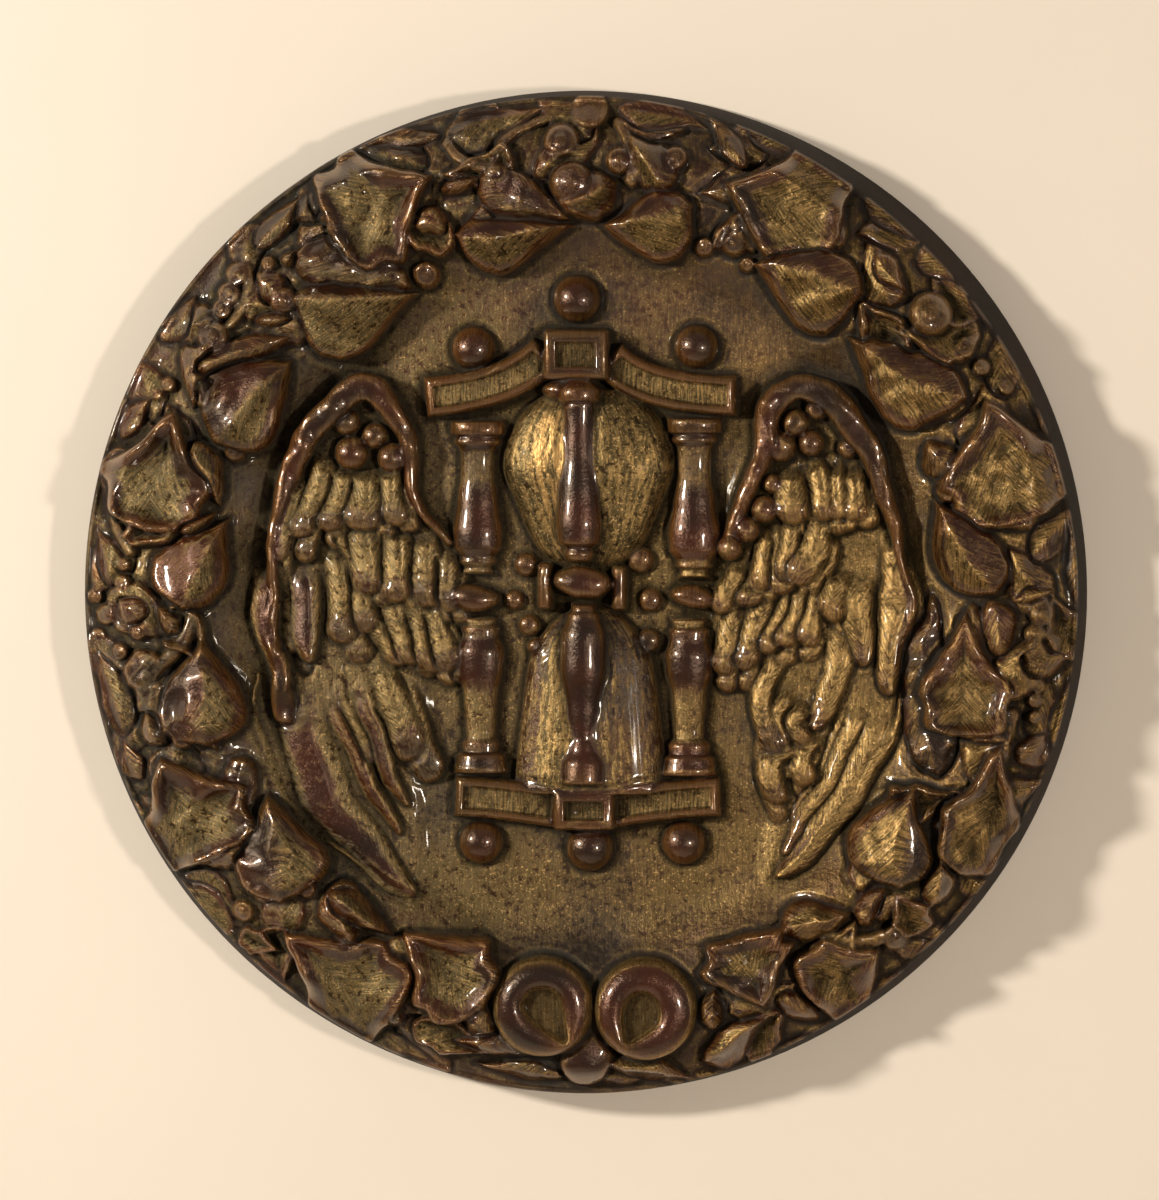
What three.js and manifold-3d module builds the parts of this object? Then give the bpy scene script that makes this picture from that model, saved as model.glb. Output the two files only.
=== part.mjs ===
// A cast bronze roundel that hangs on a wall: a winged hourglass inside a wreath of ivy leaves,
// berries and tendrils, tied with a bow at the foot. It is one casting, hollow behind.
// Millimetres, +Z up. The front looks along -Y and the flat back ring lies in the plane Y = 0.

import * as THREE from 'three';
import Module from 'manifold-3d';
import { mergeVertices } from 'three/addons/utils/BufferGeometryUtils.js';

// Driving sizes, in millimetres
const diameter = 400;
const rimDepth = 22;
const fieldDepth = 22;
const wreathDepth = 34;
const rimFoot = 3;
const backRing = 12;
const castWall = 7;

// The carving is drawn in thousandths of the diameter, to the right and up from the centre
const unit = diameter / 1000;
const radius = diameter / 2;

// Where the field ends and the wreath rises and falls, as shares of the radius
const fieldEdge = 0.624;
const wreathInner = 0.79;
const wreathOuter = 0.85;
const rimEdge = 0.984;

// The hollow's mouth runs straight in for this share of the depth behind the field
const mouthStraight = 0.4;

// How far the rim leans in from its back edge to its front edge, every eighth of the way
// round from the right
const rimLean = [10, 25, 15, 8, 15, 23, 8, 19];

// How finely the round forms are cut into facets
const bodySegments = 56;
const hollowSegments = 32;

// Carving starts this far under the ground and ends this far inside the rim's front edge
const rootDepth = 0.4 * castWall;
const rimMargin = 0.5;

// Feathers are a little wider than drawn, so that they overlap
const featherSpread = 1.18;

// Leaves of each kind: fold along the middle, raised border and its width, swell, thickness,
// and how many stations there are from tip to base
const leafKinds = {
  rimmed: { fold: -4, rim: 9, border: 11, swell: 3, thick: 12, stations: 5 },
  folded: { fold: 13, rim: 0, border: 8, swell: 3, thick: 9, stations: 5 },
  domed: { fold: 0, rim: 0, border: 6, swell: 11, thick: 5, stations: 4 },
  low: { fold: 5, rim: 0, border: 6, swell: 4, thick: 5, stations: 3 },
};

// Each leaf: kind, tip right and up, base right and up, width left and right, widest share, lift
const leaves = [
  ['low', -34, 483, -142, 448, 14, 26, 0.4, 0],
  ['low', 121, 456, 38, 484, 14, 16, 0.4, 0],
  ['low', 330, 346, 280, 406, 20, 16, 0.4, 1],
  ['low', 373, 311, 333, 341, 16, 16, 0.4, 1],
  ['low', 268, -429, 188, -462, 16, 8, 0.4, 0],
  ['low', 330, -369, 286, -410, 18, 12, 0.4, 1],
  ['low', 110, -487, 26, -466, 18, 4, 0.4, 1],
  ['low', -142, -466, -237, -444, 18, 8, 0.4, 0],
  ['low', -414, -276, -350, -336, 16, 22, 0.4, 1],
  ['low', -482, -49, -454, -144, 14, 20, 0.4, 0],
  ['low', -482, 66, -464, 6, 10, 16, 0.4, 0],
  ['low', -277, 391, -320, 338, 16, 14, 0.4, 0],
  ['domed', 343, 6, 348, -174, 22, 30, 0.2, -8],
  ['domed', 403, -2, 416, -59, 15, 15, 0.5, 1],
  ['domed', -437, -50, -428, -96, 20, 20, 0.5, 2],
  ['folded', 350, -252, 343, -306, 15, 16, 0.4, 1],
  ['rimmed', 308, -289, 338, -334, 14, 18, 0.4, 1],
  ['folded', 186, -419, 121, -456, 14, 18, 0.4, 1],
  ['domed', 343, 156, 368, 116, 18, 18, 0.4, 0],
  ['domed', -12, 370, -104, 414, 25, 22, 0.4, 3],
  ['domed', -164, 304, -279, 334, 28, 26, 0.3, 2],
  ['folded', -9, 365, -124, 356, 18, 34, 0.32, 3],
  ['folded', 18, 368, 110, 384, 44, 20, 0.35, 3],
  ['rimmed', 138, 406, 256, 364, 54, 58, 0.4, 3],
  ['folded', 165, 326, 276, 298, 46, 26, 0.34, 2],
  ['folded', 263, 254, 373, 196, 43, 28, 0.35, 2],
  ['rimmed', 393, 193, 428, 71, 62, 54, 0.4, 3],
  ['folded', 346, 93, 406, 4, 28, 28, 0.35, 1],
  ['rimmed', 379, -16, 375, -141, 37, 42, 0.38, 3],
  ['rimmed', 415, -146, 375, -276, 38, 27, 0.45, 4],
  ['folded', 330, -180, 313, -286, 46, 24, 0.34, 3],
  ['rimmed', 296, -346, 221, -389, 33, 44, 0.42, 3],
  ['rimmed', 181, -404, 160, -329, 41, 45, 0.36, 2],
  ['rimmed', -84, -450, -160, -424, 10, 22, 0.4, 1],
  ['rimmed', -174, -329, -104, -409, 41, 45, 0.4, 3],
  ['rimmed', -294, -332, -184, -416, 50, 50, 0.36, 3],
  ['folded', -307, -194, -295, -301, 42, 38, 0.3, 3],
  ['rimmed', -410, -161, -362, -264, 50, 58, 0.48, 3],
  ['folded', -375, -41, -370, -149, 44, 38, 0.33, 3],
  ['folded', -347, 76, -394, -16, 44, 24, 0.35, 3],
  ['rimmed', -400, 184, -422, 64, 50, 46, 0.38, 3],
  ['folded', -284, 234, -357, 154, 44, 38, 0.3, 2],
  ['folded', -160, 299, -284, 293, 12, 54, 0.38, 3],
  ['rimmed', -147, 413, -247, 356, 60, 52, 0.42, 3],
];

// Berries: right, up, radius
const berries = [
  [8, 478, 19], [-19, 448, 18], [-9, 406, 22], [38, 428, 14], [343, 278, 22], [453, -16, 13],
  [446, -54, 13], [311, -336, 14], [-362, 256, 17], [-339, 318, 13], [-347, 298, 13],
  [-292, 291, 14], [-152, 316, 14],
];

// Stems: start, bend and end, each right and up, then radius
const stems = [
  [-85, 421, -82, 455, -10, 481, 5], [-134, 446, -127, 424, -85, 421, 6],
  [-432, -94, -402, -64, -385, -24, 8], [-332, 331, -327, 296, -344, 268, 6],
  [-462, 69, -455, 56, -449, 44, 6], [-377, 218, -372, 206, -375, 194, 5],
  [218, -329, 260, -345, 300, -334, 8], [38, 466, 63, 440, 50, 406, 7],
];

// Feathers: root, bend and tip, each right and up, then half width and the height of root and tip
const leftFeathers = [
  [-272, -94, -267, -194, -164, -292, 20, 10, 16], [-197, -64, -190, -104, -170, -146, 13, 15, 21],
  [-212, -14, -200, -30, -182, -56, 11, 12, 19], [-194, 1, -180, -30, -170, -55, 11, 12, 19],
  [-172, -4, -160, -30, -150, -60, 12, 12, 19], [-154, -9, -144, -35, -134, -61, 11, 12, 18],
  [-312, 41, -318, -24, -294, -97, 11, 20, 22], [-277, 36, -277, -20, -269, -69, 13, 14, 20],
  [-244, 46, -238, 10, -235, -31, 13, 14, 21], [-227, 36, -218, 5, -212, -24, 10, 13, 19],
  [-217, 76, -214, 45, -212, 21, 13, 15, 23], [-186, 70, -186, 40, -182, 12, 14, 15, 24],
  [-160, 62, -154, 30, -152, 4, 14, 15, 23], [-136, 42, -130, 20, -130, -4, 11, 14, 20],
  [-252, 145, -262, 105, -274, 69, 11, 20, 28], [-237, 131, -240, 100, -245, 74, 12, 20, 28],
  [-190, 126, -188, 105, -186, 88, 12, 20, 26], [-214, 126, -215, 100, -217, 82, 15, 20, 28],
];
const rightFeathers = [
  [270, -94, 268, -144, 208, -224, 12, 10, 14], [286, -94, 272, -144, 200, -250, 11, 12, 15],
  [302, -94, 286, -194, 194, -276, 14, 14, 18], [248, -14, 262, -84, 230, -130, 13, 13, 16],
  [218, -144, 175, -150, 192, -194, 10, 14, 18], [205, -59, 160, -94, 186, -146, 10, 15, 18],
  [268, 30, 270, -20, 280, -66, 14, 14, 18], [160, -4, 150, -30, 140, -62, 11, 12, 19],
  [184, 6, 174, -25, 163, -58, 11, 12, 19], [254, 26, 256, 8, 250, -8, 12, 14, 21],
  [154, 38, 148, 18, 142, -4, 10, 14, 20], [170, 32, 170, 18, 167, 4, 10, 14, 20],
  [184, 68, 174, 40, 176, 21, 10, 16, 23], [198, 72, 194, 40, 197, 16, 11, 16, 23],
  [206, 78, 202, 50, 202, 30, 10, 16, 22], [230, 82, 238, 50, 218, 28, 13, 16, 24],
  [305, 58, 308, 30, 307, 0, 12, 16, 20], [309, 12, 308, -40, 302, -98, 12, 18, 22],
  [264, 124, 268, 105, 267, 90, 12, 18, 25], [246, 128, 250, 105, 250, 86, 10, 18, 26],
  [228, 138, 236, 110, 239, 84, 10, 18, 26], [208, 132, 206, 105, 208, 86, 14, 18, 27],
];

// Knobs at the wings' shoulders: right, up, radius
const leftKnobs = [
  [-227, 141, 17], [-187, 136, 15], [-232, 172, 14],
];
const rightKnobs = [
  [180, 86, 14], [196, 148, 16], [211, 171, 14],
];

// Leading edges: start, bend and end, each right and up, half width and height at both ends
const leftEdges = [
  [-172, 150, -168, 110, -126, 42, 7, 5, 20, 18], [-212, 208, -168, 200, -172, 140, 16, 11, 30, 26],
  [-205, 206, -262, 210, -290, 120, 17, 11, 31, 27], [-290, 120, -300, 90, -305, 44, 11, 9, 27, 24],
];
const rightEdges = [
  [174, 131, 172, 90, 142, 50, 9, 6, 25, 20], [213, 207, 166, 200, 174, 131, 15, 12, 31, 26],
  [213, 207, 262, 200, 286, 131, 17, 13, 31, 27], [286, 131, 300, 95, 312, 56, 14, 8, 27, 22],
];

// The raised ground under each wing's feathers, as corners right and up
const wingGround = 7;
const leftWingCorners = [
  [-302, 60], [-290, 140], [-212, 210], [-172, 170], [-165, 120], [-124, 40], [-124, -64],
  [-158, -66], [-157, -125], [-164, -170], [-162, -280], [-200, -262], [-262, -184], [-297, -100], [-314, 0],
];
const rightWingCorners = [
  [142, 50], [168, 150], [213, 212], [270, 180], [300, 90], [318, 0], [312, -90], [290, -180],
  [215, -255], [190, -282], [184, -230], [188, -180], [170, -130], [172, -66], [134, -66],
];

function smooth(low, high, value) {
  const t = THREE.MathUtils.clamp((value - low) / (high - low), 0, 1);
  return t * t * (3 - 2 * t);
}

function mix(a, b, share) {
  return a + (b - a) * share;
}

// Height of the plain casting above the wall at a distance from the centre, before any carving
function ground(distance) {
  const share = distance / radius;
  const rise = (wreathDepth - fieldDepth) * smooth(fieldEdge, wreathInner, share);
  const fall = (wreathDepth - rimDepth) * smooth(wreathOuter, rimEdge, share);
  return fieldDepth + rise - fall;
}

// How far the front edge of the rim stands in from the back edge, in a given direction
function leanAt(angle) {
  const turn = (angle / (2 * Math.PI) + 1) * rimLean.length;
  const first = Math.floor(turn);
  const from = rimLean[first % rimLean.length];
  const to = rimLean[(first + 1) % rimLean.length];
  return mix(from, to, smooth(0, 1, turn - first)) * unit;
}

// Carving that would pass the rim is cut off along its front edge
function withinRim(x, y) {
  const limit = radius - leanAt(Math.atan2(y, x)) - rimMargin;
  const share = Math.min(1, limit / Math.hypot(x, y));
  return [x * share, y * share];
}

const wasm = await Module();
wasm.setup();

function solidFrom(geometry) {
  const bare = geometry.clone();
  bare.deleteAttribute('normal');
  bare.deleteAttribute('uv');
  const merged = mergeVertices(bare, 1e-4);
  const corners = merged.index.array;
  const kept = [];
  for (let k = 0; k < corners.length; k += 3) {
    const [a, b, c] = corners.slice(k, k + 3);
    if (a !== b && b !== c && c !== a) kept.push(a, b, c);
  }
  const mesh = new wasm.Mesh({
    numProp: 3,
    vertProperties: new Float32Array(merged.attributes.position.array),
    triVerts: new Uint32Array(kept),
  });
  return new wasm.Manifold(mesh);
}

function geometryFrom(solid) {
  const mesh = solid.getMesh();
  const geometry = new THREE.BufferGeometry();
  geometry.setAttribute('position', new THREE.BufferAttribute(mesh.vertProperties, 3));
  geometry.setIndex(new THREE.BufferAttribute(mesh.triVerts, 1));
  geometry.computeVertexNormals();
  return geometry;
}

// A closed block through equal rings of points, from the lowest ring to the highest,
// each counter-clockwise seen from the front and closed at both ends to its own middle
function loft(rings) {
  const points = rings.flat();
  const count = rings[0].length;
  const faces = [];
  for (let level = 0; level < rings.length - 1; level += 1) {
    for (let k = 0; k < count; k += 1) {
      const a = level * count + k;
      const b = level * count + ((k + 1) % count);
      faces.push(a, b, b + count, a, b + count, a + count);
    }
  }
  const middleOf = (ring) => ring
    .reduce((sum, point) => sum.add(point), new THREE.Vector3())
    .divideScalar(count);
  const bottom = points.push(middleOf(rings[0])) - 1;
  const top = points.push(middleOf(rings.at(-1))) - 1;
  const last = (rings.length - 1) * count;
  for (let k = 0; k < count; k += 1) {
    const next = (k + 1) % count;
    faces.push(bottom, next, k, top, last + k, last + next);
  }
  const geometry = new THREE.BufferGeometry().setFromPoints(points);
  geometry.setIndex(faces);
  return solidFrom(geometry);
}

function ringOf(count, pointAt) {
  return Array.from({ length: count }, (_, k) => pointAt((2 * Math.PI * k) / count));
}

// The plain casting: back edge, leaning rim, and the ground of wreath and field
function castBody() {
  const circle = (size, height) => ringOf(bodySegments, (angle) => (
    new THREE.Vector3(size * Math.cos(angle), size * Math.sin(angle), height)));
  const frontEdge = ringOf(bodySegments, (angle) => {
    const size = radius - leanAt(angle);
    return new THREE.Vector3(size * Math.cos(angle), size * Math.sin(angle), rimDepth);
  });
  const onGround = (share) => circle(share * radius, ground(share * radius));
  return loft([
    circle(radius, 0),
    circle(radius, rimFoot),
    frontEdge,
    onGround(wreathOuter),
    onGround(wreathInner),
    onGround(fieldEdge),
  ]);
}

// The hollow behind, which follows the wreath and the field at a cast wall's distance
function hollow() {
  const ceiling = (share) => new THREE.Vector2(share * radius, ground(share * radius) - castWall);
  const mouth = radius - backRing;
  const fieldCeiling = fieldDepth - castWall;
  const geometry = new THREE.LatheGeometry([
    new THREE.Vector2(0, -rimFoot),
    new THREE.Vector2(mouth, -rimFoot),
    new THREE.Vector2(mouth, mouthStraight * fieldCeiling),
    ceiling(wreathOuter),
    ceiling(wreathInner),
    ceiling(fieldEdge),
    new THREE.Vector2(0, fieldCeiling),
  ], hollowSegments);
  geometry.rotateX(Math.PI / 2);
  return solidFrom(geometry);
}

// A blade is a leaf, a feather or a bar. Each station is a share of the way along its middle
// line and the widths to the left and right there. Each ring says how much of the width and of
// the length it keeps, and how high it stands at a place. The last ring lies on the middle line.
function blade(line, stations, rings) {
  const pointAt = (station, side, ring) => {
    const along = 0.5 + (station.along - 0.5) * ring.length;
    const middle = line.getPoint(along);
    const ahead = line.getTangent(along);
    const width = side * (side > 0 ? station.left : station.right) * ring.width;
    const [x, y] = withinRim(middle.x - ahead.y * width, middle.y + ahead.x * width);
    return new THREE.Vector3(x, y, ring.height(x, y, along));
  };
  return loft(rings.map((ring) => [
    ...stations.map((station) => pointAt(station, -1, ring)),
    ...stations.toReversed().map((station) => pointAt(station, 1, ring)),
  ]));
}

function lineThrough(row) {
  const [x0, y0, x1, y1, x2, y2] = row.map((value) => value * unit);
  return new THREE.QuadraticBezierCurve(
    new THREE.Vector2(x0, y0), new THREE.Vector2(x1, y1), new THREE.Vector2(x2, y2));
}

// Share of a leaf's full width at a share of the way from its base to its tip
function leafWidth(along, widest) {
  if (along < widest) return Math.sin((Math.PI / 2) * mix(0.25, 1, along / widest));
  return Math.cos((Math.PI / 2) * ((along - widest) / (1 - widest))) ** 1.3;
}

function leaf(kind, tipX, tipY, baseX, baseY, left, right, widest, lift) {
  const { fold, rim, border, swell, thick, stations: count } = leafKinds[kind];
  const line = lineThrough([baseX, baseY, (tipX + baseX) / 2, (tipY + baseY) / 2, tipX, tipY]);
  const bed = ground(Math.hypot(tipX + baseX, tipY + baseY) / 2 * unit);
  const level = (x, y) => mix(ground(Math.hypot(x, y)), bed, 0.5);
  const raised = (height) => (x, y) => level(x, y) + (lift + thick + height) * unit;
  const buried = (x, y) => ground(Math.hypot(x, y)) - rootDepth;
  const stations = Array.from({ length: count }, (_, k) => {
    const along = k / (count - 1);
    const share = leafWidth(along, widest);
    return { along, left: left * share * unit, right: right * share * unit };
  });
  const width = Math.min(left, right);
  const half = Math.hypot(tipX - baseX, tipY - baseY) / 2;
  const inset = (amount, height) => ({
    width: 1 - amount / width, length: 1 - amount / half, height: raised(height),
  });
  const rings = [
    { width: 1, length: 1, height: buried },
    { width: 1, length: 1, height: raised(rim ? 0.8 * rim : -3) },
  ];
  if (rim) rings.push(inset(border, 0));
  const { length } = rings.at(-1);
  const crown = (x, y, along) => raised(swell + fold * mix(0.4, 1, smooth(1, 0.6, along)))(x, y);
  rings.push({ width: 0, length: length * 0.98, height: crown });
  return blade(line, stations, rings);
}

// Widths of a feather, from its root to its rounded tip, as shares of the full width
const featherShape = [[0, 0.85], [0.7, 1], [1, 0.45]];

function feather(row) {
  const [half, rootHeight, tipHeight] = row.slice(6);
  const stations = featherShape.map(([along, share]) => {
    const width = half * share * featherSpread * unit;
    return { along, left: width, right: width };
  });
  const raised = (height) => (x, y, along) => (
    fieldDepth + (mix(rootHeight, tipHeight, along ** 1.3) + height) * unit);
  return blade(lineThrough(row), stations, [
    { width: 1, length: 1, height: () => fieldDepth - rootDepth },
    { width: 1, length: 1, height: raised(-6) },
    { width: 0, length: 0.94, height: raised(0) },
  ]);
}

// A rounded band along a bent line, such as a wing's leading edge or a stem
function band(row, startHalf, endHalf, crown, root) {
  const stations = [0, 0.5, 1].map((along) => {
    const width = mix(startHalf, endHalf, along) * unit;
    return { along, left: width, right: width };
  });
  return blade(lineThrough(row), stations, [
    { width: 1, length: 1, height: root },
    { width: 1, length: 1, height: (x, y, along) => crown(x, y, along) - 0.6 * startHalf * unit },
    { width: 0, length: 0.94, height: crown },
  ]);
}

function leadingEdge(row) {
  const [startHalf, endHalf, startHeight, endHeight] = row.slice(6);
  const crown = (x, y, along) => fieldDepth + mix(startHeight, endHeight, along) * unit;
  return band(row, startHalf, endHalf, crown, () => fieldDepth - rootDepth);
}

function stem(row) {
  const half = row[6];
  const crown = (x, y) => ground(Math.hypot(x, y)) + (4 + half) * unit;
  return band(row, half, half, crown, (x, y) => ground(Math.hypot(x, y)) - rootDepth);
}

// The raised ground under a wing's feathers
function wingPlate(corners) {
  const outline = corners.map(([x, y]) => new THREE.Vector2(x * unit, y * unit));
  if (THREE.ShapeUtils.isClockWise(outline)) outline.reverse();
  const geometry = new THREE.ExtrudeGeometry(new THREE.Shape(outline), {
    depth: rootDepth + wingGround * unit, bevelEnabled: false,
  });
  geometry.translate(0, 0, fieldDepth - rootDepth);
  return solidFrom(geometry);
}

// A bar or block with a flat front, and a panel sunk inside its border
function panel(row, half, stand, border, sink, stations = 4) {
  const line = lineThrough(row);
  const widths = Array.from({ length: stations }, (_, k) => (
    { along: k / (stations - 1), left: half * unit, right: half * unit }));
  const length = 1 - (2 * border * unit) / line.getLength();
  const at = (height) => () => fieldDepth + height * unit;
  const rings = [
    { width: 1, length: 1, height: () => fieldDepth - rootDepth },
    { width: 1, length: 1, height: at(stand) },
  ];
  if (sink) {
    rings.push({ width: 1 - border / half, length, height: at(stand) });
    rings.push({ width: 1 - (border + 1) / half, length: length * 0.99, height: at(stand - sink) });
  }
  const inner = rings.at(-1);
  rings.push({ width: 0, length: inner.length, height: inner.height });
  return blade(line, widths, rings);
}

function block(x, y, halfWidth, halfHeight, stand, border, sink) {
  return panel([x, y - halfHeight, x, y, x, y + halfHeight], halfWidth, stand, border, sink, 2);
}

// A turned post or a glass: its radius at each level from top to bottom
function turning(x, profile, stand, { flatness = 0.75, segments = 6 } = {}) {
  const points = profile.map(([y, size]) => new THREE.Vector2(size * unit, y * unit));
  const top = new THREE.Vector2(0, points[0].y);
  const foot = new THREE.Vector2(0, points.at(-1).y);
  const geometry = new THREE.LatheGeometry([foot, ...points.toReversed(), top], segments);
  geometry.rotateY(Math.PI / segments);
  geometry.scale(1, 1, flatness);
  geometry.translate(x * unit, 0, fieldDepth + stand * unit);
  return solidFrom(geometry);
}

// A domed boss that rises from the ground: an upright side and a rounded top
function boss(x, y, halfWidth, halfHeight, foot, rise, sides) {
  const ring = (share, height) => ringOf(sides, (angle) => new THREE.Vector3(
    (x + share * halfWidth * Math.cos(angle)) * unit,
    (y + share * halfHeight * Math.sin(angle)) * unit,
    foot + height));
  const top = rise * unit;
  const rings = [ring(1, -rootDepth), ring(1, 0.4 * top)];
  if (sides > 6) rings.push(ring(0.82, 0.8 * top));
  return loft([...rings, ring(sides > 6 ? 0.45 : 0.6, 0.96 * top)]);
}

function berry([x, y, size]) {
  const sides = size > 16 ? 8 : 6;
  return boss(x, y, size, size, ground(Math.hypot(x, y) * unit), 5 + 0.9 * size, sides);
}

function wing(corners, feathers, knobs, edges) {
  return [
    wingPlate(corners),
    ...feathers.map(feather),
    ...knobs.map(([x, y, size]) => boss(x, y, size, size, fieldDepth, 12 + 0.9 * size, 6)),
    ...edges.map(leadingEdge),
  ];
}

function hourglass() {
  const upperGlass = [[204, 40], [182, 68], [155, 81], [130, 84], [90, 71], [46, 50], [20, 12]];
  const lowerGlass = [[-10, 14], [-44, 50], [-76, 60], [-120, 67], [-196, 69]];
  const leftUpper = [[173, 30], [160, 30], [158, 20], [146, 12], [120, 11], [60, 21], [48, 21], [22, 12]];
  const rightUpper = [[176, 26], [160, 25], [158, 18], [144, 13], [120, 11], [60, 22], [46, 22], [18, 12]];
  const leftLower = [[-22, 12], [-54, 22], [-66, 21], [-100, 13], [-140, 11], [-148, 16], [-176, 22]];
  const rightLower = [[-22, 15], [-59, 21], [-70, 20], [-100, 14], [-140, 13], [-150, 20], [-178, 24]];
  const middleUpper = [[214, 10], [200, 19], [190, 13], [150, 11], [70, 21], [52, 19], [34, 11]];
  const middleLower = [[-7, 10], [-40, 22], [-70, 22], [-110, 14], [-140, 10], [-166, 22], [-185, 20]];
  const scrolls = [[-55, 31, 12], [-52, -29, 11], [-67, -4, 10], [58, 36, 13], [68, -4, 12],
    [66, -44, 12], [-45, -50, 9]];
  const endBalls = [[-5, 293, 24], [-107, 244, 22], [113, 246, 22], [-100, -244, 22], [8, -249, 24],
    [101, -244, 22]];
  return [
    turning(7, upperGlass, 2, { flatness: 0.27, segments: 10 }),
    turning(9, lowerGlass, 2, { flatness: 0.3, segments: 10 }),
    turning(-103, leftUpper, 4),
    turning(111, rightUpper, 4),
    turning(-100, leftLower, 4),
    turning(106, rightLower, 4),
    turning(-2, middleUpper, 14),
    turning(2, middleLower, 12),
    block(-36, 10, 7, 23, 22, 8, 0),
    block(37, 8, 7, 22, 20, 8, 0),
    boss(-103, -1, 25, 15, fieldDepth, 26, 8),
    boss(1, 14, 28, 14, fieldDepth, 38, 8),
    boss(109, -2, 27, 14, fieldDepth, 26, 8),
    ...scrolls.map(([x, y, size]) => boss(x, y, size, size, fieldDepth, 2 + 0.7 * size, 5)),
    panel([-34, 240, -70, 202, -154, 196], 19.5, 20, 8, 5),
    panel([26, 235, 60, 198, 152, 198], 19.5, 20, 8, 5),
    boss(-10, 204, 30, 12, fieldDepth, 30, 8),
    block(-5, 238, 32, 25, 30, 12, 6),
    panel([-125, -198, -80, -200, -20, -210], 20, 20, 8, 5, 3),
    panel([137, -198, 80, -200, 20, -212], 19, 20, 8, 5, 3),
    block(3, -211, 30, 20, 30, 10, 6),
    ...endBalls.map(([x, y, size]) => boss(x, y, size, size, fieldDepth, 0.95 * size, 10)),
  ];
}

// One loop of the ribbon: a broad rounded band round an eye that is drawn out towards the knot
function ribbonLoop(x, y, size, eyeX, eyeY, eyeSize, drawnOut) {
  const level = ground(Math.hypot(x, y) * unit);
  const count = 14;
  const outer = (height) => ringOf(count, (angle) => new THREE.Vector3(
    (x + size * Math.cos(angle)) * unit, (y + size * Math.sin(angle)) * unit, level + height * unit));
  const eye = (height, share) => ringOf(count, (angle) => {
    const reach = eyeSize * (1 + 0.4 * Math.max(0, Math.cos(angle - drawnOut)) ** 6);
    const eyeEdge = new THREE.Vector3(
      (eyeX + reach * Math.cos(angle)) * unit, (eyeY + reach * Math.sin(angle)) * unit, 0);
    const rim = new THREE.Vector3(
      (x + size * Math.cos(angle)) * unit, (y + size * Math.sin(angle)) * unit, 0);
    return eyeEdge.lerp(rim, share).setZ(level + height * unit);
  });
  return loft([
    outer(-rootDepth / unit), outer(8), eye(17, 0.55), eye(10, 0), eye(2, -0.05),
  ]);
}

function bow() {
  return [
    ribbonLoop(-35, -404, 48, -39, -408, 21, -0.95),
    ribbonLoop(68, -405, 49, 60, -409, 19, -2.3),
    panel([7, -483, 7, -458, 7, -433], 17, 42, 6, 0, 2),
  ];
}

const carving = [
  ...wing(leftWingCorners, leftFeathers, leftKnobs, leftEdges),
  ...wing(rightWingCorners, rightFeathers, rightKnobs, rightEdges),
  ...hourglass(),
  ...leaves.map((row) => leaf(...row)),
  ...stems.map(stem),
  ...berries.map(berry),
  ...bow(),
];

const bronze = new THREE.MeshStandardMaterial({ color: 0x5c4326, roughness: 0.45, metalness: 0.9 });

const casting = carving.reduce((whole, piece) => whole.add(piece), castBody()).subtract(hollow());
const plaque = new THREE.Mesh(geometryFrom(casting), bronze);
plaque.name = 'relief_plaque';
plaque.rotation.x = Math.PI / 2;

const part = new THREE.Group();
part.add(plaque);

export default part;
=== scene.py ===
"""A cast bronze roundel with a winged hourglass inside an ivy wreath, hung on a pale wall."""
import math

import bpy
import numpy as np
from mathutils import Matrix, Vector


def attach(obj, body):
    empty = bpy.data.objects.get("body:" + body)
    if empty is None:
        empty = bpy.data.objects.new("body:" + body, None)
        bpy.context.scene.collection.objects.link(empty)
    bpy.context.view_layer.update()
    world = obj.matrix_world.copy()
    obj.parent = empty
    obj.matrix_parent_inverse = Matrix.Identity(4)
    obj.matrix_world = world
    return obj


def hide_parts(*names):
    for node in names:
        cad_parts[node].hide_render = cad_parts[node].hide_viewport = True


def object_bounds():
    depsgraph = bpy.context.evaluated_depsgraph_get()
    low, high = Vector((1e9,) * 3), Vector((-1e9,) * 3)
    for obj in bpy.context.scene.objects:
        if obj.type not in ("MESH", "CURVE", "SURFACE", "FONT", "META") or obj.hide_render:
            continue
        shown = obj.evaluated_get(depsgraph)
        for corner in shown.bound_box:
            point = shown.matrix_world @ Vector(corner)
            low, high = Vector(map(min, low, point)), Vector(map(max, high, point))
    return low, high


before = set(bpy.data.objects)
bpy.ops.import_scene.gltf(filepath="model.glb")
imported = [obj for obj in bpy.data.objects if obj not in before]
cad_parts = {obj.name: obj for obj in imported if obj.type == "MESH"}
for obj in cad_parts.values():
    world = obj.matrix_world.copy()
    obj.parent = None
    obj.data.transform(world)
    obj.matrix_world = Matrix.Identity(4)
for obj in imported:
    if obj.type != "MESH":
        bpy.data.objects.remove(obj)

CAD_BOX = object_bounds()

# Sizes in metres, from the frame
DIAMETER = CAD_BOX[1][0] - CAD_BOX[0][0]
RADIUS = DIAMETER / 2
DEEPEST = -CAD_BOX[0][1]

# The carving is drawn in thousandths of the diameter, to the right and up from the centre,
# and its heights are counted in the same unit from the wall
UNIT = DIAMETER / 1000
REACH = 500

# Sizes of the plain casting, in metres
RIM_DEPTH = 0.022
FIELD_DEPTH = 0.022
WREATH_DEPTH = 0.034
RIM_FOOT = 0.003
BACK_RING = 0.012
CAST_WALL = 0.007
EDGE_ROUND = 0.0008
# Steps of the hollow back's slopes, and the rings of points on its flat middle
BACK_STEP = 0.004
BACK_RINGS = 12

# Where the field ends and the wreath rises and falls, as shares of the radius
FIELD_EDGE = 0.624
WREATH_INNER = 0.79
WREATH_OUTER = 0.85
RIM_EDGE = 0.984
MOUTH_STRAIGHT = 0.4

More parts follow.
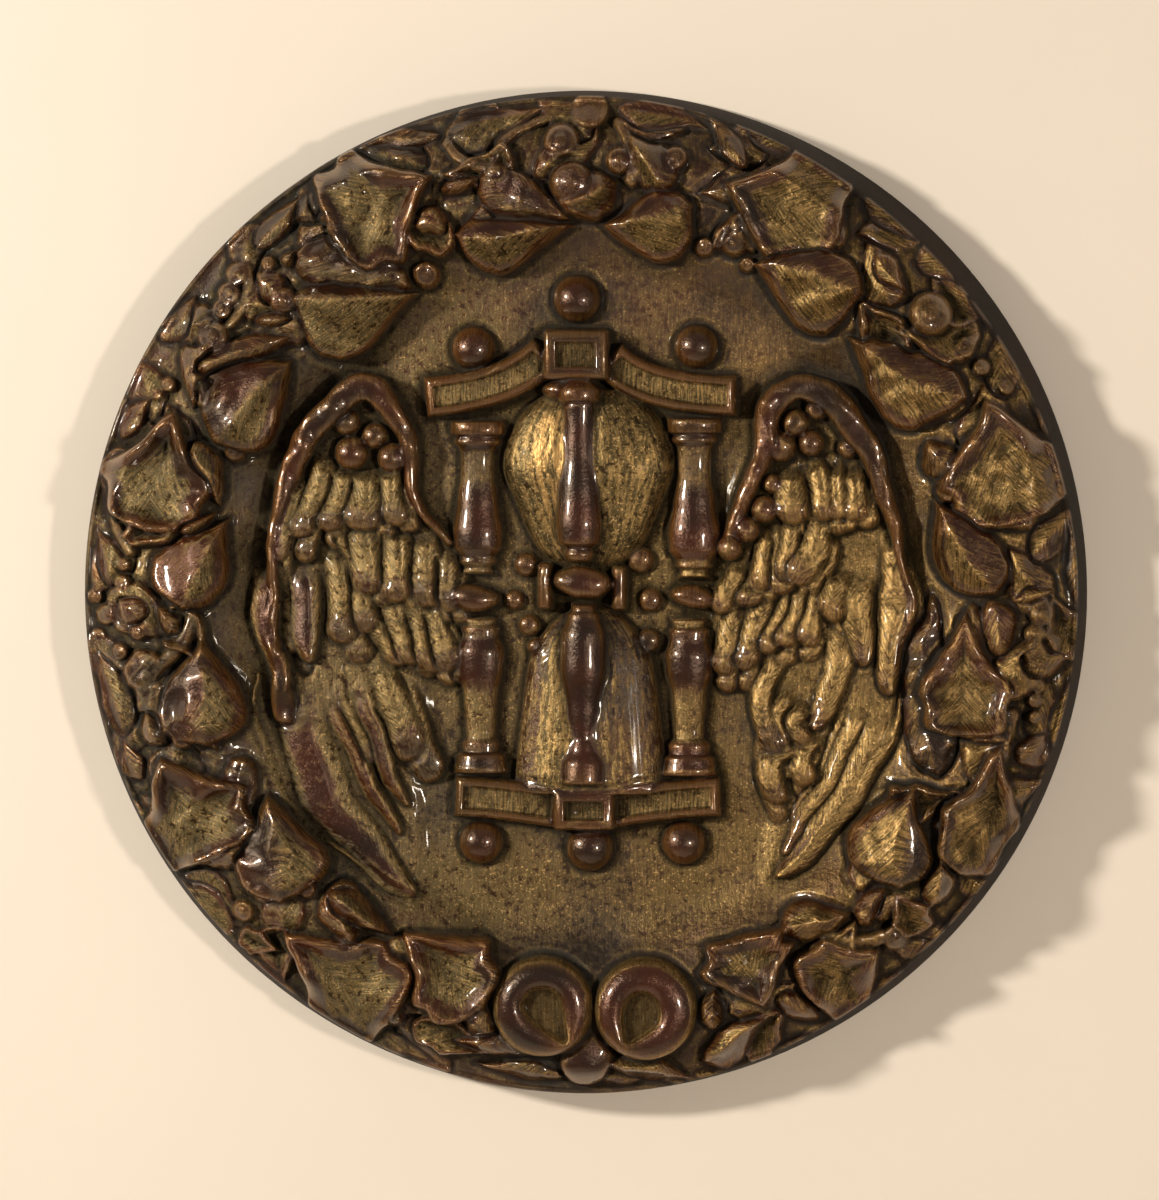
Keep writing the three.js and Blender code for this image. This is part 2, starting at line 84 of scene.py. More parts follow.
FIELD = FIELD_DEPTH / UNIT
RIM = RIM_DEPTH / UNIT
WREATH = WREATH_DEPTH / UNIT

# How far the rim leans in from its back edge to its front edge, every eighth of the way
# round from the right
RIM_LEAN = [12, 20, 8, 4, 7, 12, 6, 13]
# Rows of points on the leaning side, as shares of the way to the wall, and how it bulges
SIDE_ROWS = [0.12, 0.3, 0.5, 0.7, 0.88, 1.0]
SIDE_BULGE = 0.85
# The carving sinks to the rim this near to it and by this share, and the rim ends in a fine lip
RIM_FADE = 30
RIM_SINK = 0.85
LIP_HEIGHT = 2.2
LIP_WIDTH = 2.2
LIP_PLACE = 2.5

# Spacing of the drawing's grid, points along the side of the mesh and its most triangles
GRID_STEP = 1.0
MESH_SIDE = 780
MOST_TRIANGLES = 190000

# Leaves of each kind: fold along the middle, raised border and its width, swell, thickness
# and how golden the face is
LEAF_KINDS = {
    "rimmed": {"fold": -15.0, "rim": 8.0, "border": 17.0, "swell": 7.0, "thick": 13.0, "gold": 0.95},
    "folded": {"fold": 20.0, "rim": 2.0, "border": 12.0, "swell": 3.0, "thick": 7.0, "gold": 0.9},
    "domed": {"fold": 4.0, "rim": 0.0, "border": 8.0, "swell": 9.0, "thick": 4.0, "gold": 0.4},
    "low": {"fold": 8.0, "rim": 2.0, "border": 6.0, "swell": 3.0, "thick": 4.0, "gold": 0.7},
}

# The outline of each kind: share of the full width on the way from the base to the tip
LEAF_OUTLINES = {
    "rimmed": [(0, 0.1), (0.04, 0.56), (0.09, 0.8), (0.16, 0.86), (0.3, 0.84), (0.42, 1.0), (0.5, 0.92),
               (0.62, 0.62), (0.78, 0.36), (0.9, 0.19), (1, 0)],
    "folded": [(0, 0.05), (0.04, 0.44), (0.09, 0.68), (0.18, 0.9), (0.32, 1.0), (0.46, 0.92),
               (0.62, 0.68), (0.8, 0.36), (1, 0)],
    "domed": [(0, 0), (0.05, 0.5), (0.18, 0.86), (0.4, 1.0), (0.6, 0.9), (0.8, 0.6), (0.93, 0.3), (1, 0)],
    "low": [(0, 0.1), (0.06, 0.5), (0.2, 0.85), (0.4, 1.0), (0.6, 0.78), (0.8, 0.42), (1, 0)],
}
# Leaves are laid this much wider than they were traced, so that they overlap
LEAF_SPREAD = 1.18

# Each leaf: tip right and up, base right and up, width left and right, lift, and how far along
# it is widest where that isn't the usual share. The small leaves are laid first, in this order
LEAF_WIDEST = 0.4
SMALL_LEAVES = {
    "low": [
        [-34, 483, -142, 448, 14, 26, 0], [121, 456, 38, 484, 14, 16, 0], [123, 468, 160, 424, 13, 13, 1],
        [233, 431, 166, 461, 14, 14, 0], [266, 396, 240, 428, 12, 12, 1], [330, 346, 280, 406, 20, 16, 1],
        [373, 311, 333, 341, 16, 16, 1], [321, 300, 288, 338, 14, 12, 2], [428, 236, 380, 313, 14, 14, 0],
        [451, 211, 473, 146, 12, 10, 1], [480, 76, 490, -4, 9, 10, 0], [463, 8, 421, -4, 9, 9, 2],
        [491, -66, 466, -146, 14, 8, 0], [471, -166, 436, -242, 14, 10, 0],
        [423, -282, 358, -339, 12, 10, 0], [268, -429, 188, -462, 16, 8, 0],
        [330, -369, 286, -410, 18, 12, 1], [110, -487, 26, -466, 18, 4, 1],
        [175, -477, 111, -472, 12, 8, 0], [-142, -466, -237, -444, 18, 8, 0],
        [-264, -421, -337, -362, 14, 12, 0], [-414, -276, -350, -336, 16, 22, 1],
        [-452, -204, -432, -239, 10, 12, 0], [-482, -49, -454, -144, 14, 20, 0],
        [-454, -146, -432, -184, 12, 14, 2], [-482, 66, -464, 6, 10, 16, 0],
        [-474, 111, -464, 66, 7, 8, 0], [-422, 196, -457, 156, 12, 10, 0],
        [-379, 298, -417, 251, 10, 14, 0], [-277, 391, -320, 338, 16, 14, 0],
        [-232, 431, -264, 374, 14, 12, 1], [-227, 438, -142, 456, 10, 10, 1],
    ],
    "domed": [
        [343, 6, 348, -174, 22, 30, -8, 0.2], [403, -2, 416, -59, 15, 15, 1, 0.5],
        [476, -54, 433, -76, 14, 14, 1], [420, -140, 373, -132, 12, 12, 0],
        [458, -132, 430, -162, 14, 14, 0], [423, -249, 390, -277, 12, 12, 0],
        [348, -342, 311, -354, 10, 10, 0], [233, -416, 191, -392, 14, 12, 0],
        [133, -379, 130, -429, 10, 10, 0], [-84, -444, -112, -394, 14, 14, 0],
        [-172, -424, -194, -407, 12, 12, 1], [-432, -112, -412, -149, 12, 12, 1],
        [-437, -50, -428, -96, 20, 20, 2, 0.5], [-457, -2, -427, -19, 12, 12, 1],
        [-419, -9, -400, -39, 9, 9, 2], [-322, 318, -292, 296, 14, 14, 0], [-282, 274, -320, 271, 9, 9, 0],
        [-266, 339, -292, 324, 8, 9, 3], [-164, 361, -127, 371, 12, 14, 0],
        [-102, 413, -137, 396, 8, 8, 3], [-237, 368, -260, 374, 7, 7, 3],
    ],
}
# The larger ones over them, each after its kind
LEAVES = [
    ["domed", 300, -282, 273, -322, 12, 12, 0], ["folded", 350, -252, 343, -306, 15, 16, 1],
    ["rimmed", 308, -289, 338, -334, 14, 18, 1], ["folded", 186, -419, 121, -456, 14, 18, 1],
    ["rimmed", -298, -354, -342, -334, 14, 12, 0], ["domed", 343, 156, 368, 116, 18, 18, 0],
    ["domed", -12, 370, -104, 414, 25, 22, 3], ["domed", -282, 254, -379, 224, 14, 12, 3],
    ["domed", -164, 304, -279, 334, 28, 26, 2, 0.3], ["folded", -9, 365, -124, 356, 18, 34, 3, 0.32],
    ["folded", 18, 368, 110, 384, 44, 20, 3, 0.35], ["rimmed", 138, 406, 256, 364, 54, 58, 3],
    ["folded", 165, 326, 276, 298, 46, 26, 2, 0.34], ["folded", 263, 254, 373, 196, 43, 28, 2, 0.35],
    ["rimmed", 393, 193, 428, 71, 62, 54, 3], ["folded", 346, 93, 406, 4, 28, 28, 1, 0.35],
    ["rimmed", 379, -16, 375, -141, 37, 42, 3, 0.38], ["rimmed", 415, -146, 375, -276, 38, 27, 4, 0.45],
    ["folded", 330, -180, 313, -286, 46, 24, 3, 0.34], ["rimmed", 296, -346, 221, -389, 33, 44, 3, 0.42],
    ["rimmed", 181, -404, 160, -329, 41, 45, 2, 0.36], ["rimmed", -84, -450, -160, -424, 10, 22, 1],
    ["rimmed", -174, -329, -104, -409, 41, 45, 3], ["rimmed", -294, -332, -184, -416, 50, 50, 3, 0.36],
    ["folded", -184, -334, -247, -292, 14, 14, 2], ["folded", -307, -194, -295, -301, 42, 38, 3, 0.3],
    ["rimmed", -410, -161, -362, -264, 50, 58, 3, 0.48],
    ["folded", -375, -41, -370, -149, 44, 38, 3, 0.33], ["folded", -347, 76, -394, -16, 44, 24, 3, 0.35],
    ["rimmed", -400, 184, -422, 64, 50, 46, 3, 0.38], ["domed", -361, 83, -399, 61, 7, 9, 3],
    ["folded", -284, 234, -357, 154, 44, 38, 2, 0.3], ["folded", -160, 299, -284, 293, 12, 54, 3, 0.38],
    ["rimmed", -147, 413, -247, 356, 60, 52, 3, 0.42],
]

# Each berry: right, up and radius
BERRIES = [
    [8, 478, 19], [-19, 448, 18], [-9, 406, 22], [38, 428, 14], [93, 431, 12], [121, 343, 10],
    [150, 346, 12], [163, 326, 8], [343, 278, 22], [378, 246, 10], [393, 226, 9], [426, 228, 8],
    [418, 206, 8], [479, 106, 11], [453, -16, 13], [446, -36, 11], [446, -54, 13], [465, -44, 8],
    [433, -85, 8], [449, -87, 8], [423, -116, 8], [446, -118, 7], [446, -101, 8], [311, -336, 14],
    [-392, -139, 12], [-457, -55, 9], [-472, -19, 11], [-483, -1, 8], [-480, -40, 8], [-454, 13, 9],
    [-437, -36, 8], [-452, 31, 7], [-408, 209, 8], [-419, 199, 6], [-362, 256, 17], [-339, 318, 13],
    [-347, 298, 13], [-354, 283, 11], [-308, 328, 8], [-292, 291, 14], [-340, 143, 11], [-152, 316, 14],
    [-152, 364, 8], [-335, -312, 12], [-232, -334, 9], [-314, -294, 9], [-270, -289, 9], [-132, -407, 10],
]

# Rings of small leaves under the traced ones: radius, count, size and turn of the first leaf
FILLERS = [[392, 30, 29, 0.5], [434, 32, 32, 0.2], [470, 34, 28, 0.7]]
FILLER_KINDS = ["low", "folded", "low", "rimmed", "low", "domed"]

# Each stem: start, bend and end, right and up, and half its width
STEMS = [
    [-85, 421, -82, 455, -10, 481, 5],
    [-134, 446, -127, 424, -85, 421, 6],
    [-432, -94, -402, -64, -385, -24, 8],
    [-332, 331, -327, 296, -344, 268, 6],
    [-462, 69, -455, 56, -449, 44, 6],
    [-377, 218, -372, 206, -375, 194, 5],
    [218, -329, 260, -345, 300, -334, 8],
    [38, 466, 63, 440, 50, 406, 7],
]

# A feather longer than this is one of the long outer ones. Under the shorter ones lies another
# layer, moved toward the tip by this share of their length
LONG_FEATHER = 90
LAYER_SHIFT = 0.3
# Each feather: root, bend and tip, right and up, half width, and height at the root and the tip
LEFT_WING = [
    [-278, -84, -284, -206, -166, -292, 20, 10, 17], [-250, -74, -237, -149, -182, -236, 9, 14, 18],
    [-237, -89, -225, -120, -208, -156, 9, 12, 15], [-220, -74, -204, -149, -172, -207, 9, 14, 18],
    [-200, -104, -190, -130, -180, -149, 7, 12, 14], [-197, -64, -190, -104, -170, -146, 13, 15, 21],
    [-212, -14, -200, -30, -182, -56, 11, 12, 19], [-194, 1, -180, -30, -170, -55, 11, 12, 19],
    [-172, -4, -160, -30, -150, -60, 12, 12, 19], [-154, -9, -144, -35, -134, -61, 11, 12, 18],
    [-312, 41, -318, -24, -294, -97, 11, 20, 22], [-296, 30, -294, -10, -288, -50, 9, 8, 10],
    [-277, 36, -277, -20, -269, -69, 13, 14, 20], [-244, 46, -238, 10, -235, -31, 13, 14, 21],
    [-227, 36, -218, 5, -212, -24, 10, 13, 19], [-237, 61, -228, 45, -220, 34, 9, 16, 22],
    [-217, 76, -214, 45, -212, 21, 13, 15, 23], [-186, 70, -186, 40, -182, 12, 14, 15, 24],
    [-160, 62, -154, 30, -152, 4, 14, 15, 23], [-136, 42, -130, 20, -130, -4, 11, 14, 20],
    [-278, 126, -290, 80, -298, 44, 8, 22, 24], [-252, 145, -262, 105, -274, 69, 11, 20, 28],
    [-237, 131, -240, 100, -245, 74, 12, 20, 28], [-190, 126, -188, 105, -186, 88, 12, 20, 26],
    [-214, 126, -215, 100, -217, 82, 15, 20, 28],
]
# Knobs at the wing's shoulder: right, up and radius
LEFT_KNOBS = [[-227, 141, 17], [-204, 158, 13], [-187, 136, 15], [-232, 172, 14]]
# Leading edge from the inner foot over the shoulder to the outer foot: right, up, half width
# and height
LEFT_EDGE = [
    [-132, 50, 5, 17], [-158, 90, 6, 19], [-171, 135, 9, 24], [-180, 172, 12, 29], [-208, 203, 15, 32],
    [-243, 190, 15, 32], [-268, 160, 14, 30], [-288, 124, 11, 28], [-300, 85, 9, 26], [-306, 44, 7, 24],
    [-307, 0, 6, 23], [-305, -45, 7, 22], [-299, -90, 9, 20], [-291, -122, 10, 17],
]
# Beyond its foot a fine ridge runs on beside the longest feather
LEFT_RIDGE = [
    [-322, -80, 3, 9], [-318, -130, 3, 10], [-299, -184, 3, 11], [-258, -239, 3, 12],
    [-212, -276, 3, 12], [-166, -298, 3, 10],
]

RIGHT_WING = [
    [270, -94, 268, -144, 208, -224, 12, 10, 14], [286, -94, 272, -144, 200, -250, 11, 12, 15],
    [302, -94, 286, -194, 194, -276, 14, 14, 18], [248, -14, 262, -84, 230, -130, 13, 13, 16],
    [238, -134, 205, -150, 218, -172, 9, 14, 18], [218, -144, 175, -150, 192, -194, 10, 14, 18],
    [228, -104, 196, -120, 216, -136, 9, 15, 19], [218, -94, 178, -104, 194, -140, 8, 15, 19],
    [205, -59, 160, -94, 186, -146, 10, 15, 18], [268, 30, 270, -20, 280, -66, 14, 14, 18],
    [160, -4, 150, -30, 140, -62, 11, 12, 19], [184, 6, 174, -25, 163, -58, 11, 12, 19],
    [204, 8, 198, -20, 184, -49, 9, 12, 18], [216, 12, 212, -15, 199, -44, 9, 12, 18],
    [236, 12, 232, -10, 218, -39, 9, 12, 18], [254, 26, 256, 8, 250, -8, 12, 14, 21],
    [154, 38, 148, 18, 142, -4, 10, 14, 20], [170, 32, 170, 18, 167, 4, 10, 14, 20],
    [184, 68, 174, 40, 176, 21, 10, 16, 23], [198, 72, 194, 40, 197, 16, 11, 16, 23],
    [206, 78, 202, 50, 202, 30, 10, 16, 22], [230, 82, 238, 50, 218, 28, 13, 16, 24],
    [305, 58, 308, 30, 307, 0, 12, 16, 20], [309, 12, 308, -40, 302, -98, 12, 18, 22],
    [264, 124, 268, 105, 267, 90, 12, 18, 25], [246, 128, 250, 105, 250, 86, 10, 18, 26],
    [228, 138, 236, 110, 239, 84, 10, 18, 26], [208, 132, 206, 105, 208, 86, 14, 18, 27],
]
RIGHT_KNOBS = [
    [188, 111, 10], [180, 86, 14], [163, 66, 13], [146, 48, 13], [196, 148, 16], [211, 171, 14],
    [226, 151, 13], [232, 186, 12], [262, 146, 10],
]
RIGHT_EDGE = [
    [140, 46, 6, 19], [158, 88, 8, 22], [173, 131, 10, 26], [183, 172, 13, 29], [213, 206, 15, 32],
    [248, 191, 15, 31], [272, 158, 14, 29], [288, 128, 12, 27], [301, 92, 9, 25], [312, 56, 7, 23],
    [318, 16, 6, 21], [319, -30, 6, 20], [314, -76, 7, 18],
]
RIGHT_RIDGE = [
    [318, -90, 4, 15], [309, -128, 4, 14], [286, -174, 4, 14], [250, -222, 4, 14],
    [216, -256, 4, 13], [190, -280, 3, 10],
]

# The raised ground under each wing's feathers, as corners right and up
LEFT_GROUND = [
    [-302, 60], [-290, 140], [-212, 210], [-172, 170], [-165, 120], [-124, 40], [-124, -64],
    [-158, -66], [-157, -125], [-164, -170], [-162, -280], [-200, -262], [-262, -184], [-297, -100],
    [-314, 0],
]
RIGHT_GROUND = [
    [142, 50], [168, 150], [213, 212], [270, 180], [300, 90], [318, 0], [312, -90], [290, -180],
    [215, -255], [190, -282], [184, -230], [188, -180], [170, -130], [172, -66], [134, -66],
]
WING_GROUND = 7
# Shallow channels that follow a wing's outline, on both sides: start, bend and end, depth, width
CHANNELS = [
    [130, 60, 150, 240, 215, 228, 2, 12],
    [215, 228, 300, 215, 325, 40, 3, 12],
    [325, 40, 330, -180, 190, -300, 3, 14],
]

# The hourglass. Glasses: middle, radius at each level, the folds between their facets, and gold
GLASSES = [
    [7, [(206, 34), (178, 68), (132, 85), (92, 72), (46, 50), (20, 12)],
     [-0.9, -0.66, -0.2, 0.3, 0.62, 0.86], 0.95],
    [9, [(-10, 16), (-30, 42), (-60, 60), (-110, 68), (-174, 75), (-196, 76)],
     [-0.85, -0.5, -0.15, 0.3, 0.62, 0.85], 0.45],
]
# Side posts: middle, and radius at each level
POSTS = [
    [-103, [(173, 27), (160, 27), (158, 22), (152, 24), (146, 19), (142, 17), (120, 17),
            (90, 21), (62, 25), (48, 24), (38, 18), (34, 19), (28, 14), (22, 16)]],
    [111, [(176, 27), (162, 27), (160, 21), (154, 23), (148, 18), (144, 17), (120, 17),
           (90, 21), (62, 26), (46, 25), (34, 18), (30, 19), (26, 14), (18, 16)]],
    [-100, [(-22, 17), (-28, 15), (-32, 19), (-38, 18), (-56, 24), (-68, 23), (-100, 17),
            (-140, 15), (-146, 19), (-154, 18), (-158, 24), (-176, 27)]],
    [106, [(-22, 18), (-30, 16), (-34, 20), (-42, 19), (-59, 24), (-70, 23), (-100, 17),
           (-140, 15), (-148, 21), (-156, 20), (-160, 25), (-178, 28)]],
]
# Spindles in front of the glass: middle, radius at each level, and height over the field
SPINDLES = [
    [-2, [(214, 12), (202, 21), (194, 21), (190, 16), (170, 15), (140, 16), (104, 20),
          (72, 23), (54, 21), (48, 13), (42, 15), (34, 12)], 24],
    [2, [(-7, 12), (-14, 12), (-18, 16), (-40, 22), (-70, 23), (-110, 16),
         (-140, 12), (-150, 15), (-166, 22), (-185, 22)], 22],
]
GLASS_STAND = 4
GLASS_FLATNESS = 0.36
POST_FLATNESS = 0.75
SPINDLE_FLATNESS = 0.85
# Rounded blocks: right, up, half width, half height, height over the field, border, panel depth
WAIST_BLOCKS = [[-36, 10, 7, 23, 22, 0, 0], [37, 8, 7, 22, 20, 0, 0]]
TOP_BLOCK = [-5, 238, 32, 25, 30, 12, 6]
FOOT_BLOCK = [3, -211, 30, 20, 30, 10, 6]
# Rails: start, bend and end, and half width
TOP_RAILS = [[-34, 240, -70, 202, -154, 196, 19.5], [26, 235, 60, 198, 152, 198, 19.5]]
FOOT_RAILS = [[-125, -198, -80, -200, -20, -210, 20], [137, -198, 80, -200, 20, -212, 19]]
RAIL_STAND = 20
RAIL_BORDER = 8
RAIL_SINK = 5
# Oval knobs: right, up, half width, half height, height over the field
BOSSES = [[-103, -1, 25, 15, 26], [1, 14, 28, 14, 38], [109, -2, 27, 14, 26]]
TOP_BOSS = [-10, 204, 30, 12, 30]
# Scrolls at the waist and balls at the ends: right, up and radius
SCROLLS = [[-55, 31, 12], [-52, -29, 11], [-67, -4, 10], [58, 36, 13], [68, -4, 12], [66, -44, 12],
           [-45, -50, 9]]
END_BALLS = [[-5, 293, 24], [-107, 244, 22], [113, 246, 22], [-100, -244, 22], [8, -249, 24],
             [101, -244, 22]]

# The bow: middle and size of each loop's outside, and the outline of the eye it goes round
BOW_LOOPS = [
    [-37, -404, 50, [[-55, -403], [-49, -391], [-37, -387], [-25, -391], [-20, -403], [-17, -422],
                     [-15, -436], [-30, -427], [-46, -416]]],
    [64, -406, 51, [[44, -410], [49, -397], [59, -391], [70, -395], [76, -407], [73, -419],
                    [62, -428], [47, -436], [45, -424]]],
]
# The knot is an oval knob, with leaves at its foot
KNOT = [5, -456, 25, 28, 38]
FOOT_LEAVES = [
    ["low", -104, -462, -16, -476, 9, 12, 0, 0.5], ["domed", -128, -440, -18, -452, 12, 12, 2, 0.45],
    ["low", 60, -484, 14, -474, 8, 8, 0, 0.5], ["folded", 110, -478, 24, -458, 13, 12, 2, 0.5],
]
# The rings of small leaves leave this place free: middle, half width, and highest level
BOW_PLACE = [12, 100, -370]

# The drawing's lines wander by this much: amount, wavelength, and seeds for right and up
WANDER = [[2.0, 80, 11, 12], [0.35, 26, 14, 15]]
# The cast surface is uneven: amount in the field and in the wreath, wavelength and seed
UNEVEN_FIELD = 0.5
UNEVEN_WREATH = 2.0
UNEVEN_WAVE = 70
UNEVEN_SEED = 13
# How golden the plain field is low down and at its top, those two levels, and the bare wreath
LOW_GOLD = 0.62
TOP_GOLD = 0.42
GOLD_LEVELS = (60, 300)
WREATH_GOLD = 0.25
# Waves on a leaf: amount and wavelength. A leaf's seed is its number and this much, and the
# leaves at the bow's foot are numbered from the other
LEAF_WAVE = (1.5, 34)
LEAF_SEED = 100
FOOT_NUMBER = 200
# Farther than any place on the plaque
FAR = 1e9
# Room round a form for its soft edge and the crease beside it
MARGIN = 8
# Strokes slant this much, in radians, off the middle line of a leaf and of a feather
LEAF_SLANT = 0.6
FEATHER_SLANT = 0.5
# Sizes of the fine and the broad forms that hollows and wear are found from
FINE_FORM = 3.5
BROAD_FORM = 14


def smooth(low, high, value):
    """Zero up to one value and one from another, with a soft step between."""
    share = np.clip((value - low) / (high - low), 0, 1)
    return share * share * (3 - 2 * share)


def mix(a, b, share):
    return a + (b - a) * share


def hump(value, width):
    """A rounded bump, one at zero and gone after about twice the width."""
    return np.exp(-(value / width) ** 2)


def ball(size, distance):
    """Height of a ball of this radius over its middle's level."""
    return np.sqrt(np.clip(size ** 2 - distance ** 2, 0, None))


def ripple(x, y, wavelength, seed, waves=9):
    """Soft random waves with a spread of about one."""
    draw = np.random.default_rng(seed)
    total = np.zeros_like(x)
    for _ in range(waves):
        heading, phase = draw.uniform(0, 2 * math.pi, 2)
        pace = 2 * math.pi / (wavelength * draw.uniform(0.7, 1.5))
        total += np.sin((x * math.cos(heading) + y * math.sin(heading)) * pace + phase)
    return total * math.sqrt(2 / waves)


def bent_line(row, count=15):
    """Points along a bend from the first to the last of three places."""
    share = np.linspace(0, 1, count)[:, None]
    start, bend, end = (np.array(row[k:k + 2], float) for k in (0, 2, 4))
    return (1 - share) ** 2 * start + 2 * share * (1 - share) * bend + share * share * end


def curve_through(points, count, closed=True):
    """A smooth line through a few points, with this many steps between two of them."""
    points = np.array(points, float)
    out = []
    size = len(points)
    for k in range(size if closed else size - 1):
        around = [k + j for j in (-1, 0, 1, 2)]
        a, b, c, d = (points[j % size if closed else min(max(j, 0), size - 1)] for j in around)
        t = np.linspace(0, 1, count, endpoint=False)[:, None]
        out.append(0.5 * (2 * b + (c - a) * t + (2 * a - 5 * b + 4 * c - d) * t ** 2
                          + (3 * b - a - 3 * c + d) * t ** 3))
    return np.concatenate(out)


def beside(x, y, points):
    """Distance from a line, share of the way along it, and signed distance to its left."""
    legs = np.diff(points, axis=0)
    lengths = np.hypot(legs[:, 0], legs[:, 1])
    start = np.concatenate([[0], np.cumsum(lengths)])
    nearest = np.full(x.shape, FAR)
    share = np.zeros(x.shape)
    side = np.zeros(x.shape)
    for k, (leg, length) in enumerate(zip(legs, lengths)):
        dx, dy = x - points[k, 0], y - points[k, 1]
        t = np.clip((dx * leg[0] + dy * leg[1]) / length ** 2, 0, 1)
        ex, ey = dx - t * leg[0], dy - t * leg[1]
        distance = np.hypot(ex, ey)
        closer = distance < nearest
        nearest = np.where(closer, distance, nearest)
        share = np.where(closer, (start[k] + t * length) / start[-1], share)
        side = np.where(closer, (leg[0] * ey - leg[1] * ex) / length, side)
    return nearest, share, side


def inside_outline(x, y, outline):
    """Distance inward from a closed outline, negative outside it."""
    nearest = np.full(x.shape, FAR)
    inside = np.zeros(x.shape, bool)
    for a, b in zip(outline, np.roll(outline, -1, axis=0)):
        ex, ey = b - a
        wx, wy = x - a[0], y - a[1]
        t = np.clip((wx * ex + wy * ey) / max(ex * ex + ey * ey, 1 / FAR), 0, 1)
        nearest = np.minimum(nearest, np.hypot(wx - t * ex, wy - t * ey))
        if ey != 0:
            inside ^= ((a[1] > y) != (b[1] > y)) & (x < ex * (y - a[1]) / ey + a[0])
    return np.where(inside, nearest, -nearest)


def ground(distance):
    """Height of the plain casting at a distance from the centre, before any carving."""
    share = distance / REACH
    rise = (WREATH - FIELD) * smooth(FIELD_EDGE, WREATH_INNER, share)
    fall = (WREATH - RIM) * smooth(WREATH_OUTER, RIM_EDGE, share)
    return FIELD + rise - fall


def lean_at(angle):
    """How far the rim leans in at a turn from the right."""
    turn = (angle / (2 * math.pi)) % 1 * len(RIM_LEAN)
    first = np.floor(turn).astype(int) % len(RIM_LEAN)
    lean = np.array(RIM_LEAN, float)
    return mix(lean[first], lean[(first + 1) % len(RIM_LEAN)], smooth(0, 1, turn - np.floor(turn)))


class Relief:
    """Height, how golden the surface is, and the brush's path, on a grid over the disc."""

    def __init__(self, half, step):
        count = int(2 * half / step) + 1
        axis = np.linspace(-half, half, count)
        self.half, self.step, self.count = half, step, count
        self.plain_x, self.plain_y = np.meshgrid(axis, axis)
        # The drawing's lines wander a little, as they do in hand-modelled wax
        self.x, self.y = self.plain_x.copy(), self.plain_y.copy()
        for amount, wavelength, seed_x, seed_y in WANDER:
            self.x += amount * ripple(self.plain_x, self.plain_y, wavelength, seed_x)
            self.y += amount * ripple(self.plain_x, self.plain_y, wavelength, seed_y)
        distance = np.hypot(self.plain_x, self.plain_y)
        self.ground = ground(distance)
        wreath = smooth(FIELD_EDGE, WREATH_INNER, distance / REACH)
        unevenness = ripple(self.plain_x, self.plain_y, UNEVEN_WAVE, UNEVEN_SEED)
        self.height = self.ground + unevenness * mix(UNEVEN_FIELD, UNEVEN_WREATH, wreath)
        # The field is more golden in its lower half than at the top
        field_gold = mix(LOW_GOLD, TOP_GOLD, smooth(*GOLD_LEVELS, self.plain_y))
        self.gold = mix(field_gold, WREATH_GOLD, wreath)
        self.across = self.plain_x.copy()
        self.along = self.plain_y.copy()
        self.strokes = np.full(self.plain_x.shape, 0.25)

    def window(self, xs, ys, margin=MARGIN):
        """The part of the grid round some places."""
        spans = []
        for values in (ys, xs):
            first = int((min(values) - margin + self.half) / self.step)
            last = int((max(values) + margin + self.half) / self.step) + 2
            spans.append(slice(max(first, 0), min(last, self.count)))
        return tuple(spans)

    def box(self, x, y, half_width, half_height):
        """The part of the grid round a form of this middle and size."""
        return self.window([x - half_width, x + half_width], [y - half_height, y + half_height])

    def near_line(self, points, margin):
        """The part of the grid round a line, with distance, share and side as in beside."""
        window = self.window(points[:, 0], points[:, 1], margin)
        return window, *beside(self.x[window], self.y[window], points)

    def plain(self, window):
        """Right and up of each point, where the lines don't wander."""
        return self.plain_x[window], self.plain_y[window]

    def lay(self, window, mask, height, gold=None, brush=None, strokes=0.3):
        """Cover what is there where the mask is one."""
        self.height[window] = mix(self.height[window], height, mask)
        self.strokes[window] = mix(self.strokes[window], strokes, mask)
        if gold is not None:
            self.gold[window] = mix(self.gold[window], gold, mask)
        if brush is not None:
            covered = mask > 0.5
            self.across[window] = np.where(covered, brush[0], self.across[window])
            self.along[window] = np.where(covered, brush[1], self.along[window])

    def crease(self, window, inward, depth, width):
        """A fine sunk line just outside a form's edge, with a thin rubbed bead beyond it."""
        outside = smooth(1, -1, inward)
        self.height[window] -= 0.5 * depth * outside * hump(inward + width, width)
        bead = outside * hump(inward + 3 * width, 0.6 * width)
        self.height[window] += 0.12 * depth * bead
        self.gold[window] = mix(self.gold[window], 0.8, 0.5 * bead)

    def build_up(self, window, inward, height, gold, crease=(2.0, 2.5), edge=(-1.0, 1.5)):
        """Lay a form with a crease round it, only where it stands higher than what is there."""
        self.crease(window, inward, *crease)
        self.lay(window, smooth(*edge, inward), np.maximum(height, self.height[window]), gold)

    def sample(self, layer, x, y):
        """Values of a layer at places between the grid's points."""
        u = np.clip((x + self.half) / self.step, 0, self.count - 1.001)
        v = np.clip((y + self.half) / self.step, 0, self.count - 1.001)
        i, j = u.astype(int), v.astype(int)
        low = mix(layer[j, i], layer[j, i + 1], u - i)
        high = mix(layer[j + 1, i], layer[j + 1, i + 1], u - i)
        return mix(low, high, v - j)


def slanted(along, aside, tilt):
    """Path of brush strokes that slant away from a middle line on both sides."""
    aside = np.abs(aside)
    return (along * math.sin(tilt) + aside * math.cos(tilt),
            along * math.cos(tilt) - aside * math.sin(tilt))


